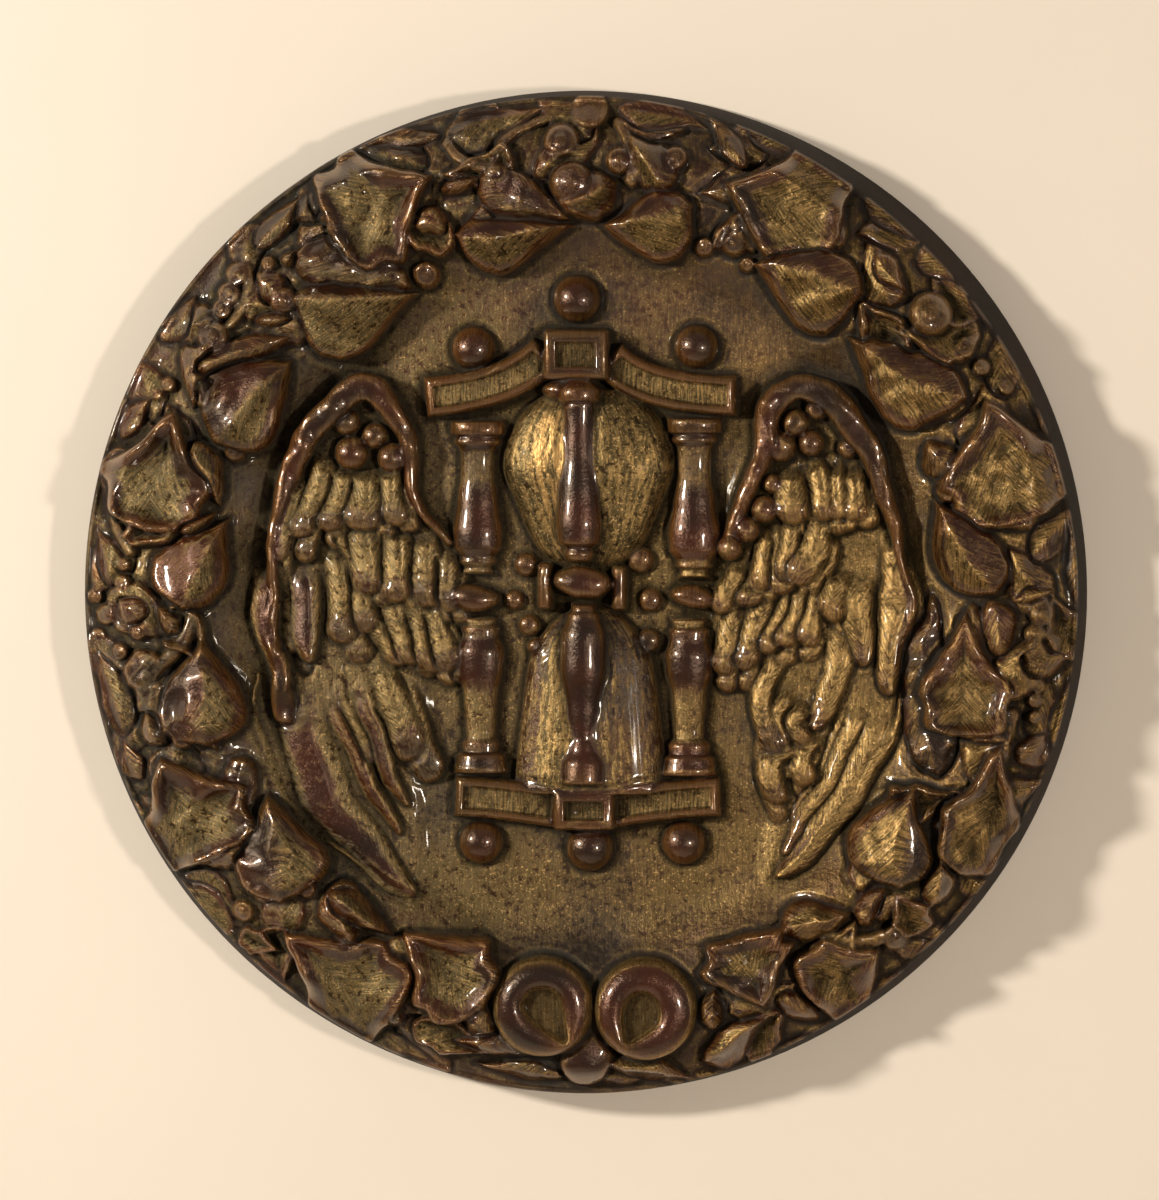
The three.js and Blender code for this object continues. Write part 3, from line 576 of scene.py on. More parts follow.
def leaf_width(share, kind, widest):
    """Share of a leaf's full width on the way from its base to its tip."""
    places, widths = zip(*LEAF_OUTLINES[kind])
    places = np.array(places)
    # The widest place moves along the leaf, and the rest stretches with it
    middle = places[int(np.argmax(widths))]
    moved = np.where(places < middle, places * widest / middle,
                     1 - (1 - places) * (1 - widest) / (1 - middle))
    fine = np.linspace(0, 1, 201)
    curve = np.interp(fine, moved, widths)
    soft = np.convolve(np.pad(curve, 4, mode="edge"), np.ones(9) / 9, mode="valid")
    soft[-4:] = curve[-4:]
    return np.interp(share, fine, soft)


def leaf(relief, number, kind, tip_x, tip_y, base_x, base_y, left, right, lift, widest=LEAF_WIDEST):
    """One leaf, laid over what is there. Its number sets how it bends, leans and waves."""
    form = LEAF_KINDS[kind]
    left, right = left * LEAF_SPREAD, right * LEAF_SPREAD
    length = math.hypot(tip_x - base_x, tip_y - base_y)
    ux, uy = (tip_x - base_x) / length, (tip_y - base_y) / length
    window = relief.window([tip_x, base_x], [tip_y, base_y], max(left, right) + 14)
    x, y = relief.x[window], relief.y[window]
    s = (x - base_x) * ux + (y - base_y) * uy
    t = -(x - base_x) * uy + (y - base_y) * ux
    share = np.clip(s / length, 0, 1)
    # Each leaf bends its own way
    t = t - 0.05 * length * math.sin(2.4 * number) * 4 * share * (1 - share)
    half = np.where(t > 0, left, right)
    outline = half * leaf_width(share, kind, widest)
    small = 0.02
    slope = half * (leaf_width(np.clip(share + small, 0, 1), kind, widest)
                    - leaf_width(np.clip(share - small, 0, 1), kind, widest)) / (2 * small * length)
    inward = np.minimum((outline - np.abs(t)) / np.sqrt(1 + slope ** 2), s + 1)
    # Beyond the tip and the base the distance is taken to the nearest end
    beyond = np.abs(s - share * length)
    inward = np.where(beyond > 1e-6, -np.hypot(np.maximum(np.abs(t) - outline, 0), beyond), inward)
    width = min(left, right)
    border = min(form["border"], 0.42 * width)
    middle = np.clip(1 - np.abs(t) / np.maximum(outline, 1), 0, 1)
    slack = 0.4 + 0.6 * smooth(1.0, 0.6, share) * smooth(0, 0.25, share)
    bed = float(ground(math.hypot(tip_x + base_x, tip_y + base_y) / 2))
    height = mix(relief.ground[window], bed, 0.5) + lift + form["thick"]
    height = height + form["fold"] * middle * slack
    height = height + form["swell"] * np.sqrt(np.clip(inward / width, 0, 1))
    height = height + form["rim"] * hump(inward - 0.42 * border, 0.6 * border)
    height = height - 5 * smooth(7, 0, inward) ** 2
    height = height + LEAF_WAVE[0] * ripple(x, y, LEAF_WAVE[1], LEAF_SEED + number, 5)
    # One half lies lower than the other
    height = height + 0.14 * t * math.sin(1.9 * number) * smooth(0, 0.3, share)
    face = form["gold"]
    if kind != "rimmed":
        # The half that looks to the plaque's middle is rubbed golden, the other stays dark
        toward = uy * (tip_x + base_x) - ux * (tip_y + base_y)
        face = face * mix(0.15, 1.0, smooth(-3, 3, t * math.copysign(1, toward)))
    gold = mix(0.0, face, smooth(0.75 * border, 1.4 * border, inward))
    across, along = slanted(s, t, LEAF_SLANT)
    # The strokes start elsewhere on each leaf
    across = across + 37 * (number % 7)
    relief.crease(window, inward, 3.0, 2.5)
    relief.lay(window, smooth(-1.0, 1.8, inward), height, gold, (across, along), 0.8)


def dome(relief, x, y, size, lift=0.0, rise=0.85, base=None, ring=0.0, gold=0.25):
    """A berry or a knob, with a fine ring sunk into its top where a ring depth is given."""
    window = relief.box(x, y, size, size)
    px, py = relief.plain(window)
    distance = np.hypot(px - x, py - y)
    foot = relief.ground[window] if base is None else base
    height = foot + lift + rise * ball(size, distance)
    height = height - ring * hump(distance - 0.45 * size, 0.14 * size)
    relief.build_up(window, size - distance, height, gold)


def stem(relief, row, lift=4.0):
    """A round twig."""
    size = row[6]
    window, distance, _, _ = relief.near_line(bent_line(row), size + MARGIN)
    height = relief.ground[window] + lift + ball(size, distance)
    relief.build_up(window, size - distance, height, 0.35)


def feather(relief, row, crown=10.0):
    """A vane with a fine quill, pointed when it is long."""
    points = bent_line(row)
    half, root, tip = row[6:9]
    length = float(np.hypot(*(points[-1] - points[0])))
    long = length > LONG_FEATHER
    half = half * (1.25 if long else 1.32)
    window, distance, share, side = relief.near_line(points, half + MARGIN)
    if long:
        width = 1.5 + half * (1 - 0.15 * share) * np.sqrt(1 - share ** 5)
    else:
        width = half * (0.72 + 0.28 * share)
    out = np.clip(distance / width, 0, 1)
    # The vane leans to one side, and its quill runs nearer that side
    lean = np.clip(side / width, -1, 1)
    arch = (1 - out ** 2) ** 0.5
    quill = 1.6 * hump(side - 0.25 * width, 1.5) * smooth(0.97, 0.5, share)
    height = FIELD + root + (tip - root) * share ** 1.1 + crown * (arch - 1) + 2.2 * lean - quill
    if not long:
        barbs = np.sin(share * length * 0.55 + 1.4 * np.abs(lean))
        height = height + 0.35 * barbs * smooth(1, 0.6, out)
    # Long feathers are dark along the middle in the left wing and toward the tip in the right one
    gold = mix(0.8, 0.35, smooth(0.75, 0.98, share))
    if long and row[0] < 0:
        gold = mix(0.75, 0.1, smooth(0.75, 0.35, np.abs(lean + 0.15)))
    elif long:
        gold = mix(0.85, 0.15, smooth(0.6, 1.0, share)) - 0.3 * hump(lean + 0.2, 0.25)
    inward = width - distance
    relief.crease(window, inward, 1.8 * tip / 20, 2.0)
    # It grows out of the ground at its root and stands clear of it at its tip
    mask = smooth(-1.5, 2.2, inward) * smooth(0.0, 0.3, share)
    relief.lay(window, mask, height, gold, slanted(share * length, side, FEATHER_SLANT), 0.7)


def leading_edge(relief, rows, gold=0.02):
    """A round bar of changing width and height through a few places."""
    path = curve_through(rows, 6, closed=False)
    points = path[:, :2]
    window, distance, share, _ = relief.near_line(points, 3 * MARGIN)
    legs = np.hypot(*np.diff(points, axis=0).T)
    shares = np.concatenate([[0], np.cumsum(legs)]) / legs.sum()
    width = np.interp(share, shares, path[:, 2])
    arch = np.sqrt(np.clip(1 - (distance / width) ** 2, 0, 1))
    height = FIELD + np.interp(share, shares, path[:, 3]) + 10 * (arch - 1)
    height = height + 1.2 * ripple(relief.x[window], relief.y[window], 30, 71, 5)
    relief.build_up(window, width - distance, height, gold, (1.5, 2.5), (-0.8, 1.6))


def channel(relief, row, side):
    """A shallow groove, on the left where the side is -1 and on the right where it is 1."""
    depth, width = row[6:8]
    window, distance, _, _ = relief.near_line(bent_line(row) * [side, 1], 3 * width)
    relief.height[window] -= depth * hump(distance, width)


def wing(relief, corners, feathers, knobs, edge, ridge):
    outline = curve_through(corners, 4)
    window = relief.window(outline[:, 0], outline[:, 1], 3 * MARGIN)
    inward = inside_outline(relief.x[window], relief.y[window], outline)
    relief.lay(window, smooth(-12, 10, inward), FIELD + WING_GROUND)
    # A lower layer of feathers shows between the tips of the short ones
    for row in feathers:
        reach = LAYER_SHIFT * (np.array(row[4:6]) - row[0:2])
        aside = 0.9 * row[6] * np.array([-reach[1], reach[0]]) / math.hypot(*reach)
        lower = list(np.array(row[:6]) + np.tile(reach + aside, 3))
        if math.hypot(*reach) < LAYER_SHIFT * LONG_FEATHER:
            feather(relief, lower + [0.9 * row[6], row[7] - 2, row[8] - 6])
    for row in feathers:
        feather(relief, row)
    for x, y, size in knobs:
        dome(relief, x, y, size, lift=12, rise=0.9, base=FIELD, gold=0.05)
    leading_edge(relief, ridge, gold=1.1)
    leading_edge(relief, edge)


def turning(relief, x, profile, stand, flatness, folds=(), gold=None):
    """A turned post or a faceted glass, from its radius at each level."""
    rows = np.array(sorted(profile), float)
    levels, sizes = rows[:, 0], rows[:, 1]
    if folds:
        line = curve_through(rows, 10, closed=False)
        levels, sizes = line[:, 0], line[:, 1]
    window = relief.window([x], [levels.min(), levels.max()], sizes.max() + MARGIN)
    px, py = relief.plain(window)
    step = np.clip(np.searchsorted(levels, py) - 1, 0, len(levels) - 2)
    share = (py - levels[step]) / (levels[step + 1] - levels[step])
    if not folds:
        share = smooth(0, 1, share)
    size = mix(sizes[step], sizes[step + 1], share)
    around = (px - x) / np.maximum(size, 1)
    swell = np.sqrt(np.clip(1 - around ** 2, 0, 1))
    if gold is None:
        # A post's slim parts are rubbed golden, and its swellings stay dark
        gold = mix(0.65, 0.02, smooth(16, 21, size))
    if folds:
        # One facet of the glass, the one turned to the lamp on the left, is painted bright: rubbed brass and
        # a painted highlight
        gold = gold + 0.7 * smooth(0.1, -0.15, np.abs(around + 0.43) - 0.25)
        # Its facets are flat, with softened edges between them
        places = np.array([-1.0] + list(folds) + [1.0])
        facets = np.interp(around, places, np.sqrt(1 - places ** 2))
        swell = mix(facets, swell, 0.25)
    height = FIELD + stand + flatness * size * swell
    for place in folds:
        height = height - 0.7 * hump(around - place, 0.03)
    inward = np.minimum(size - np.abs(px - x), np.minimum(py - levels.min(), levels.max() - py))
    relief.crease(window, inward, 2.0, 3.0)
    mask = smooth(-1.0, 1.6, inward) * (height > relief.height[window] - 2)
    height = np.maximum(height, relief.height[window])
    relief.lay(window, mask, height, gold, (30 * around, py), 1.0 if folds else 0.25)


def rail(relief, row):
    points, half = bent_line(row), row[6]
    window = relief.window(points[:, 0], points[:, 1], half + MARGIN)
    x, y = relief.plain(window)
    past = beside(x, y, points)[0] - half
    for end, inner in ((points[0], points[1]), (points[-1], points[-2])):
        heading = (end - inner) / np.hypot(*(end - inner))
        past = np.maximum(past, (x - end[0]) * heading[0] + (y - end[1]) * heading[1])
    framed(relief, window, -past, x, y, RAIL_STAND, RAIL_BORDER, RAIL_SINK)


def block(relief, x, y, half_width, half_height, stand, border, sink, corner=4):
    window = relief.box(x, y, half_width, half_height)
    px, py = relief.plain(window)
    qx = np.abs(px - x) - half_width + corner
    qy = np.abs(py - y) - half_height + corner
    outside = np.hypot(np.clip(qx, 0, None), np.clip(qy, 0, None))
    inward = corner - outside - np.minimum(np.maximum(qx, qy), 0)
    framed(relief, window, inward, px, py, stand, border, sink)


def framed(relief, window, inward, x, y, stand, border, sink):
    """A flat front with a rounded border, and a golden panel sunk inside it."""
    height = FIELD + stand - 3 * smooth(5, 0, inward)
    gold = mix(0.05, 0.25, smooth(4, 8, inward))
    strokes = 0.15
    if sink:
        panel = smooth(border, border + 2.5, inward)
        height = height - sink * panel + 1.0 * hump(inward - border + 1.5, 2.0)
        gold = mix(0.1, 1.1, panel)
        strokes = mix(0.15, 0.9, panel)
    relief.crease(window, inward, 2.0, 3.0)
    height = np.maximum(height, relief.height[window])
    relief.lay(window, smooth(-1.2, 1.2, inward), height, gold, (x, y), strokes)


def boss(relief, x, y, half_width, half_height, rise):
    """An oval knob."""
    window = relief.box(x, y, half_width, half_height)
    out = np.hypot((relief.x[window] - x) / half_width, (relief.y[window] - y) / half_height)
    height = FIELD + rise - 14 * (1 - np.sqrt(np.clip(1 - out ** 2, 0, 1)))
    relief.build_up(window, (1 - out) * half_height, height, 0.08)


def hourglass(relief):
    for x, profile, folds, gold in GLASSES:
        turning(relief, x, profile, GLASS_STAND, GLASS_FLATNESS, folds, gold)
    for x, profile in POSTS:
        turning(relief, x, profile, GLASS_STAND, POST_FLATNESS)
    for x, profile, stand in SPINDLES:
        turning(relief, x, profile, stand, SPINDLE_FLATNESS, gold=0.0)
    for row in WAIST_BLOCKS:
        block(relief, *row)
    for row in BOSSES:
        boss(relief, *row)
    for row in SCROLLS:
        dome(relief, *row, lift=2, rise=0.7, base=FIELD)
    for row in TOP_RAILS:
        rail(relief, row)
    boss(relief, *TOP_BOSS)
    block(relief, *TOP_BLOCK)
    for row in FOOT_RAILS:
        rail(relief, row)
    block(relief, *FOOT_BLOCK)
    for row in END_BALLS:
        dome(relief, *row, rise=0.95, base=FIELD, gold=0.12)


def bow(relief):
    for number, row in enumerate(FOOT_LEAVES):
        leaf(relief, FOOT_NUMBER + number, *row)
    boss(relief, *KNOT)
    for x, y, size, eye in BOW_LOOPS:
        window = relief.box(x, y, size, size)
        px, py = relief.plain(window)
        outer = size - np.hypot(px - x, py - y)
        inner = -inside_outline(px, py, curve_through(eye, 6))
        # How far across the band from its outer edge to the eye
        inside = np.clip(outer, 0, None)
        band = inside / np.maximum(inside + np.clip(inner, 0, None), 1)
        level = ground(math.hypot(x, y))
        crown = np.clip(1 - np.abs(2 * band ** 1.3 - 1) ** 2.2, 0, 1) ** 0.6
        height = mix(level + 10, level + 8 + 15 * crown, smooth(-1, 2, inner))
        gold = mix(1.25, 0.0, smooth(-1, 3, inner) * smooth(0.1, 0.2, band))
        # A bright line round the eye: rubbed metal and a painted highlight
        gold = gold + 1.2 * hump(inner - 2, 2)
        relief.crease(window, outer, 3.0, 2.5)
        relief.lay(window, smooth(-1, 1.8, outer), height, gold)


def filler_leaves():
    """The rings of small leaves, as rows like those of the traced ones, or none where the bow is."""
    rows = []
    middle, half_width, highest = BOW_PLACE
    for radius, count, size, turn in FILLERS:
        for k in range(count):
            angle = 2 * math.pi * (k + turn) / count
            heading = angle + math.pi / 2 + 0.9 * math.sin(2.4 * k + radius)
            x, y = radius * math.cos(angle), radius * math.sin(angle)
            dx, dy = 1.25 * size * math.cos(heading), 1.25 * size * math.sin(heading)
            kind = FILLER_KINDS[k % len(FILLER_KINDS)]
            row = [kind, x + dx, y + dy, x - dx, y - dy, 0.7 * size, 0.7 * size, -4 + 2 * math.sin(1.7 * k)]
            rows.append(None if abs(x - middle) < half_width and y < highest else row)
    return rows


def wreath(relief):
    small = [[kind] + row for kind, rows in SMALL_LEAVES.items() for row in rows]
    # A leaf's number sets how it bends, also where a ring leaves one out
    for number, row in enumerate(filler_leaves() + small + LEAVES, 1):
        if row:
            leaf(relief, number, *row)
    for row in STEMS:
        stem(relief, row)
    for row in BERRIES:
        dome(relief, *row, lift=5, ring=1.5)


def carve():
    relief = Relief(REACH + 6, GRID_STEP)
    for side in (-1, 1):
        for row in CHANNELS:
            channel(relief, row, side)
    wing(relief, LEFT_GROUND, LEFT_WING, LEFT_KNOBS, LEFT_EDGE, LEFT_RIDGE)
    wing(relief, RIGHT_GROUND, RIGHT_WING, RIGHT_KNOBS, RIGHT_EDGE, RIGHT_RIDGE)
    hourglass(relief)
    wreath(relief)
    bow(relief)
    relief.height = np.minimum(relief.height, DEEPEST / UNIT - 0.5)
    return relief


def blurred(layer, size):
    """A layer with everything smaller than a size smoothed away."""
    rows = np.fft.fftfreq(layer.shape[0])[:, None]
    columns = np.fft.rfftfreq(layer.shape[1])[None, :]
    keep = np.exp(-2 * (math.pi * size) ** 2 * (rows ** 2 + columns ** 2))
    return np.fft.irfft2(np.fft.rfft2(layer) * keep, s=layer.shape)


def tone_layers(relief):
    """Golden share with painted light on the right, depth in hollows for dark patina and painted shade, worn
    high edges with painted light, and grey-green bloom with painted light on the left, each 0 to 1.
    """
    height = relief.height
    fine = (height - blurred(height, FINE_FORM / GRID_STEP)) / 1.6
    broad = (height - blurred(height, BROAD_FORM / GRID_STEP)) / 7
    # Hollows and creases found from the shape are darkened: dark patina, and painted shade where light hardly
    # reaches
    hollow = np.clip(-0.4 * fine - 0.42 * broad, 0, 1)
    wear_and_painted_light = 0.25 * np.clip(fine - 0.3, 0, 1) + np.clip(relief.gold - 1, 0, 1)
    # Grey-green bloom in the hollows, and on the golden parts of the left side a lighter grey-green, partly
    # real bloom and partly painted light
    left = smooth(200, -420, relief.plain_x)
    bloom = np.clip(hollow * 0.25 + 0.55 * left * (relief.gold > 0.3), 0, 1)
    # Painted light: the right side is painted more golden and brighter on its worn parts, as if the lamp on
    # the right lit it more
    right = smooth(0, 420, relief.plain_x) * (1 - hollow)
    wear_and_painted_light = wear_and_painted_light + 0.25 * right * (relief.gold > 0.3)
    return np.clip(relief.gold + 0.2 * right, 0, 1), hollow, np.clip(wear_and_painted_light, 0, 1), bloom


def hollow_profile():
    """The back from the flat ring to the middle: radius and height above the wall, in metres."""
    field_ceiling = FIELD_DEPTH - CAST_WALL
    wreath_ceiling = WREATH_DEPTH - CAST_WALL
    mouth = RADIUS - BACK_RING
    corners = [
        (mouth + EDGE_ROUND, 0.0),
        (mouth, EDGE_ROUND),
        (mouth, MOUTH_STRAIGHT * field_ceiling),
        (WREATH_OUTER * RADIUS, wreath_ceiling),
        (WREATH_INNER * RADIUS, wreath_ceiling),
        (FIELD_EDGE * RADIUS, field_ceiling),
    ]
    rows = []
    for (r0, z0), (r1, z1) in zip(corners, corners[1:]):
        steps = max(1, int(math.hypot(r1 - r0, z1 - z0) / BACK_STEP))
        for k in range(steps):
            rows.append((mix(r0, r1, k / steps), mix(z0, z1, k / steps)))
    for k in range(BACK_RINGS):
        rows.append((mix(FIELD_EDGE * RADIUS, BACK_STEP, k / (BACK_RINGS - 1)), field_ceiling))
    return rows


def plaque_mesh(relief):
    """One closed skin: the carved front, the leaning rim, the flat ring and the hollow back."""
    side = np.linspace(-1, 1, MESH_SIDE)
    u, v = np.meshgrid(side, side)
    # A square net drawn out to a disc
    x = u * np.sqrt(1 - v * v / 2)
    y = v * np.sqrt(1 - u * u / 2)
    out = np.clip(np.hypot(x, y), 1e-6, 1)
    angle = np.arctan2(y, x)
    reach = (REACH - lean_at(angle) * out ** 4) * out
    x, y = reach * np.cos(angle), reach * np.sin(angle)
    from_edge = REACH - lean_at(angle) - reach
    z = relief.sample(relief.height, x, y)
    z = mix(z, mix(z, RIM, RIM_SINK), smooth(RIM_FADE, 0, from_edge))
    z = z + LIP_HEIGHT * hump(from_edge - LIP_PLACE, LIP_WIDTH)
    front = np.stack([x, -z, y], -1).reshape(-1, 3) * UNIT
    index = np.arange(MESH_SIDE ** 2).reshape(MESH_SIDE, MESH_SIDE)
    quads = [np.stack([index[:-1, :-1], index[:-1, 1:], index[1:, 1:], index[1:, :-1]], -1).reshape(-1, 4)]
    ring = np.concatenate([index[0, :-1], index[:-1, -1], index[-1, :0:-1], index[:0:-1, 0]])
    edge = front[ring]
    turn = np.arctan2(edge[:, 2], edge[:, 0])
    # The side and the back are rings of points, each a radius and a height above the wall
    rings = []
    for share in SIDE_ROWS:
        rings.append((mix(np.hypot(edge[:, 0], edge[:, 2]), RADIUS, share ** SIDE_BULGE),
                      mix(-edge[:, 1], RIM_FOOT, share)))
    rings += [(RADIUS, EDGE_ROUND), (RADIUS - EDGE_ROUND, 0.0)] + hollow_profile()
    points = [front]
    previous, count = ring, len(front)
    for radius, height in rings:
        points.append(np.stack([radius * np.cos(turn), -height + 0 * turn, radius * np.sin(turn)], -1))
        current = np.arange(count, count + len(ring))
        count += len(ring)
        quads.append(np.stack([previous, current, np.roll(current, -1), np.roll(previous, -1)], -1))
        previous = current
    points.append(np.array([[0, -rings[-1][1], 0]]))
    triangles = np.stack([previous, np.full(len(ring), count), np.roll(previous, -1)], -1)
    mesh = bpy.data.meshes.new("bronze_relief")
    mesh.from_pydata(np.concatenate(points), [], np.concatenate(quads).tolist() + triangles.tolist())
    mesh.update()
    return mesh


def placed(name, data):
    """A new object in the scene."""
    made = bpy.data.objects.new(name, data)
    bpy.context.scene.collection.objects.link(made)
    return made


def read(mesh, name):
    """The places or normals of a mesh's points, a row for each."""
    values = np.empty(len(mesh.vertices) * 3, np.float32)
    mesh.vertices.foreach_get(name, values)
    return values.reshape(-1, 3)


def reduced(plaque):
    """Fewer triangles where the form is plain."""
    triangles = sum(len(p.vertices) - 2 for p in plaque.data.polygons)
    decimate = plaque.modifiers.new("reduce", "DECIMATE")
    decimate.ratio = min(1.0, MOST_TRIANGLES / triangles)
    bpy.context.view_layer.update()
    evaluated = plaque.evaluated_get(bpy.context.evaluated_depsgraph_get())
    mesh = bpy.data.meshes.new_from_object(evaluated)
    # Merging points may carry one past the casting's box by a hair, so they are held inside it
    places = np.clip(read(mesh, "co"), CAD_BOX[0], CAD_BOX[1]).astype(np.float32)
    mesh.vertices.foreach_set("co", places.ravel())
    plaque.modifiers.clear()
    old = plaque.data
    plaque.data = mesh
    bpy.data.meshes.remove(old)
    mesh.name = "bronze_relief"
    mesh.polygons.foreach_set("use_smooth", np.ones(len(mesh.polygons), bool))


def store(mesh, name, kind, field, values):
    """Keep values at every point of a mesh, under a name that a material can ask for."""
    made = mesh.attributes.new(name, kind, "POINT")
    made.data.foreach_set(field, values.astype(np.float32).ravel())


def paint(mesh, relief):
    """Tone and brush path, stored at every point for the material."""
    places = read(mesh, "co") / UNIT
    x, y = places[:, 0], places[:, 2]
    facing = read(mesh, "normal")[:, 1]
    front_edge = REACH - lean_at(np.arctan2(y, x))
    carved = (facing < 0) & (np.hypot(x, y) < front_edge + 1)
    values = [np.where(carved, relief.sample(layer, x, y), 0) for layer in tone_layers(relief)]
    tone = np.stack(values, -1)
    rim = ~carved & (facing < 0.4)
    # The rim's side gets the darkest hollow tone: dark patina and painted shade
    tone[rim] = RIM_TONE
    tone[~carved & ~rim] = BACK_TONE
    store(mesh, "tone", "FLOAT_COLOR", "color", tone)
    layers = (relief.across, relief.along, relief.strokes)
    brush = np.stack([relief.sample(layer, x, y) for layer in layers], -1)
    store(mesh, "brush", "FLOAT_VECTOR", "vector", brush)


class Nodes:
    """Short calls for building a material. Any input takes a number or another node's output."""

    def __init__(self, material):
        material.use_nodes = True
        self.tree = material.node_tree
        self.tree.nodes.clear()

    def add(self, kind, **values):
        node = self.tree.nodes.new(kind)
        for name, value in values.items():
            setattr(node, name, value)
        return node

    def put(self, node, *pairs):
        """Fill inputs, each given by its name or place and its value."""
        for name, value in pairs:
            if isinstance(value, bpy.types.NodeSocket):
                self.tree.links.new(value, node.inputs[name])
            else:
                node.inputs[name].default_value = value
        return node.outputs

    def math(self, operation, a, b, clamp=False):
        node = self.add("ShaderNodeMath", operation=operation, use_clamp=clamp)
        return self.put(node, (0, a), (1, b))[0]

    def times(self, a, b):
        return self.math("MULTIPLY", a, b)

    def plus(self, a, b, clamp=False):
        return self.math("ADD", a, b, clamp)

    def minus(self, a, b, clamp=False):
        return self.math("SUBTRACT", a, b, clamp)

    def between(self, a, b, share, kind="FLOAT"):
        node = self.add("ShaderNodeMix", data_type=kind)
        return self.put(node, ("Factor", share), ("A", a), ("B", b))["Result"]

    def blend(self, a, b, share):
        return self.between(a, b, share, "RGBA")

    def spread(self, value, low, high):
        node = self.add("ShaderNodeMapRange", interpolation_type="SMOOTHSTEP")
        return self.put(node, ("Value", value), ("From Min", low), ("From Max", high))["Result"]

    def noise(self, vector, scale, detail=4.0, roughness=0.55):
        node = self.add("ShaderNodeTexNoise")
        return self.put(node, ("Vector", vector), ("Scale", scale), ("Detail", detail),
                        ("Roughness", roughness))["Fac"]

    def bump(self, height, strength, distance, before=None):
        node = self.add("ShaderNodeBump")
        outputs = self.put(node, ("Height", height), ("Strength", strength), ("Distance", distance))
        if before is not None:
            self.put(node, ("Normal", before))
        return outputs["Normal"]


def colour(red, green, blue):
    """A colour from 0 to 255 a channel, as the shader wants it."""
    def linear(value):
        share = value / 255
        return share / 12.92 if share <= 0.04045 else ((share + 0.055) / 1.055) ** 2.4
    return linear(red), linear(green), linear(blue), 1.0


def principled(name):
    """A new material's nodes, its shader and its output."""
    material = bpy.data.materials.new(name)
    nodes = Nodes(material)
    shader = nodes.add("ShaderNodeBsdfPrincipled")
    output = nodes.add("ShaderNodeOutputMaterial")
    nodes.put(output, ("Surface", shader.outputs["BSDF"]))
    place = nodes.add("ShaderNodeTexCoord").outputs["Object"]
    return material, nodes, shader, output, place


def bronze_material():
    material, nodes, shader, _, place = principled("patinated_bronze")
    plus, times, minus, blend, spread = nodes.plus, nodes.times, nodes.minus, nodes.blend, nodes.spread
    tone = nodes.add("ShaderNodeAttribute", attribute_name="tone")
    split = nodes.put(nodes.add("ShaderNodeSeparateColor"), ("Color", tone.outputs["Color"]))
    gold, hollow, wear_and_painted_light, bloom = split["Red"], split["Green"], split["Blue"], tone.outputs["Alpha"]
    brush = nodes.add("ShaderNodeAttribute", attribute_name="brush").outputs["Vector"]
    brushed = nodes.put(nodes.add("ShaderNodeSeparateXYZ"), ("Vector", brush))["Z"]
    stretched = nodes.put(nodes.add("ShaderNodeMapping"), ("Vector", brush), ("Scale", BRUSH_STRETCH))
    strokes = nodes.between(0.5, nodes.noise(stretched["Vector"], *STROKE_NOISE), brushed)
    grain = nodes.noise(place, *GRAIN_NOISE)
    mottle = nodes.noise(place, *MOTTLE_NOISE)
    cloud = nodes.noise(place, *CLOUD_NOISE)

    # How golden: the carving's own share, with painted light on the right side, broken up by patches and by
    # the strokes
    patchy = plus(times(minus(mottle, 0.5), 0.7), times(minus(cloud, 0.5), 1.2))
    streaked = times(minus(strokes, 0.5), 1.3)
    golden = spread(plus(plus(gold, patchy), streaked), 0.15, 0.85)
    # Grey-green bloom, which on the left side is also painted light
    dust_and_left_light = times(bloom, spread(mottle, 0.35, 0.6))
    rubbed = times(wear_and_painted_light, spread(strokes, 0.38, 0.6))

    brown = blend(DEEP_BROWN, WARM_BROWN, spread(cloud, 0.35, 0.65))
    olive = blend(DULL_OLIVE, LIGHT_OLIVE, spread(strokes, 0.42, 0.6))
    olive = blend(olive, BRIGHT_GRAIN, spread(grain, 0.56, 0.7))
    olive = blend(olive, DARK_PITS, spread(mottle, 0.48, 0.34))
    base = blend(brown, olive, golden)
    base = blend(base, BLOOM_AND_LEFT_LIGHT, times(dust_and_left_light, 0.55))
    # Worn edges turn to brass, and the same colour paints light on the right side, on one glass facet and
    # round the bow's eyes
    base = blend(base, RUBBED_EDGE_AND_LIGHT, times(rubbed, 0.9))
    # Dark patina and painted shade in hollows and on the rim's side
    base = blend(base, HOLLOW_PATINA_AND_SHADE, times(hollow, 0.72))

    rough = plus(nodes.between(0.2, 0.34, golden), times(grain, 0.12))
    rough = plus(plus(rough, times(dust_and_left_light, 0.2)), times(hollow, 0.55))
    rough = minus(rough, times(rubbed, 0.1), clamp=True)
    metal = minus(nodes.between(0.4, 0.9, golden), times(dust_and_left_light, 0.5), clamp=True)
    # The dark patina and the rubbed places are waxed
    gloss = times(minus(1.0, golden), minus(1.0, hollow))
    gloss = plus(times(gloss, 0.75), times(rubbed, 0.3), clamp=True)

    normal = nodes.bump(times(strokes, nodes.between(0.3, 1.0, golden)), 0.5, 0.0010)
    normal = nodes.bump(mottle, 0.35, 0.0009, normal)
    normal = nodes.bump(grain, 0.3, 0.0004, normal)
    nodes.put(shader, ("Base Color", base), ("Roughness", rough), ("Metallic", metal),
              ("Coat Weight", gloss), ("Coat Roughness", WAX_ROUGHNESS), ("Coat Tint", WAX_TINT),
              ("Normal", normal))
    return material


def plain_material(name, shade, roughness):
    material, nodes, shader, output, place = principled(name)
    darker = [0.94 * c for c in shade[:3]] + [1.0]
    tint = nodes.blend(shade, darker, nodes.noise(place, WALL_NOISE))
    nodes.put(shader, ("Base Color", tint), ("Roughness", roughness))
    return material, nodes, shader, output


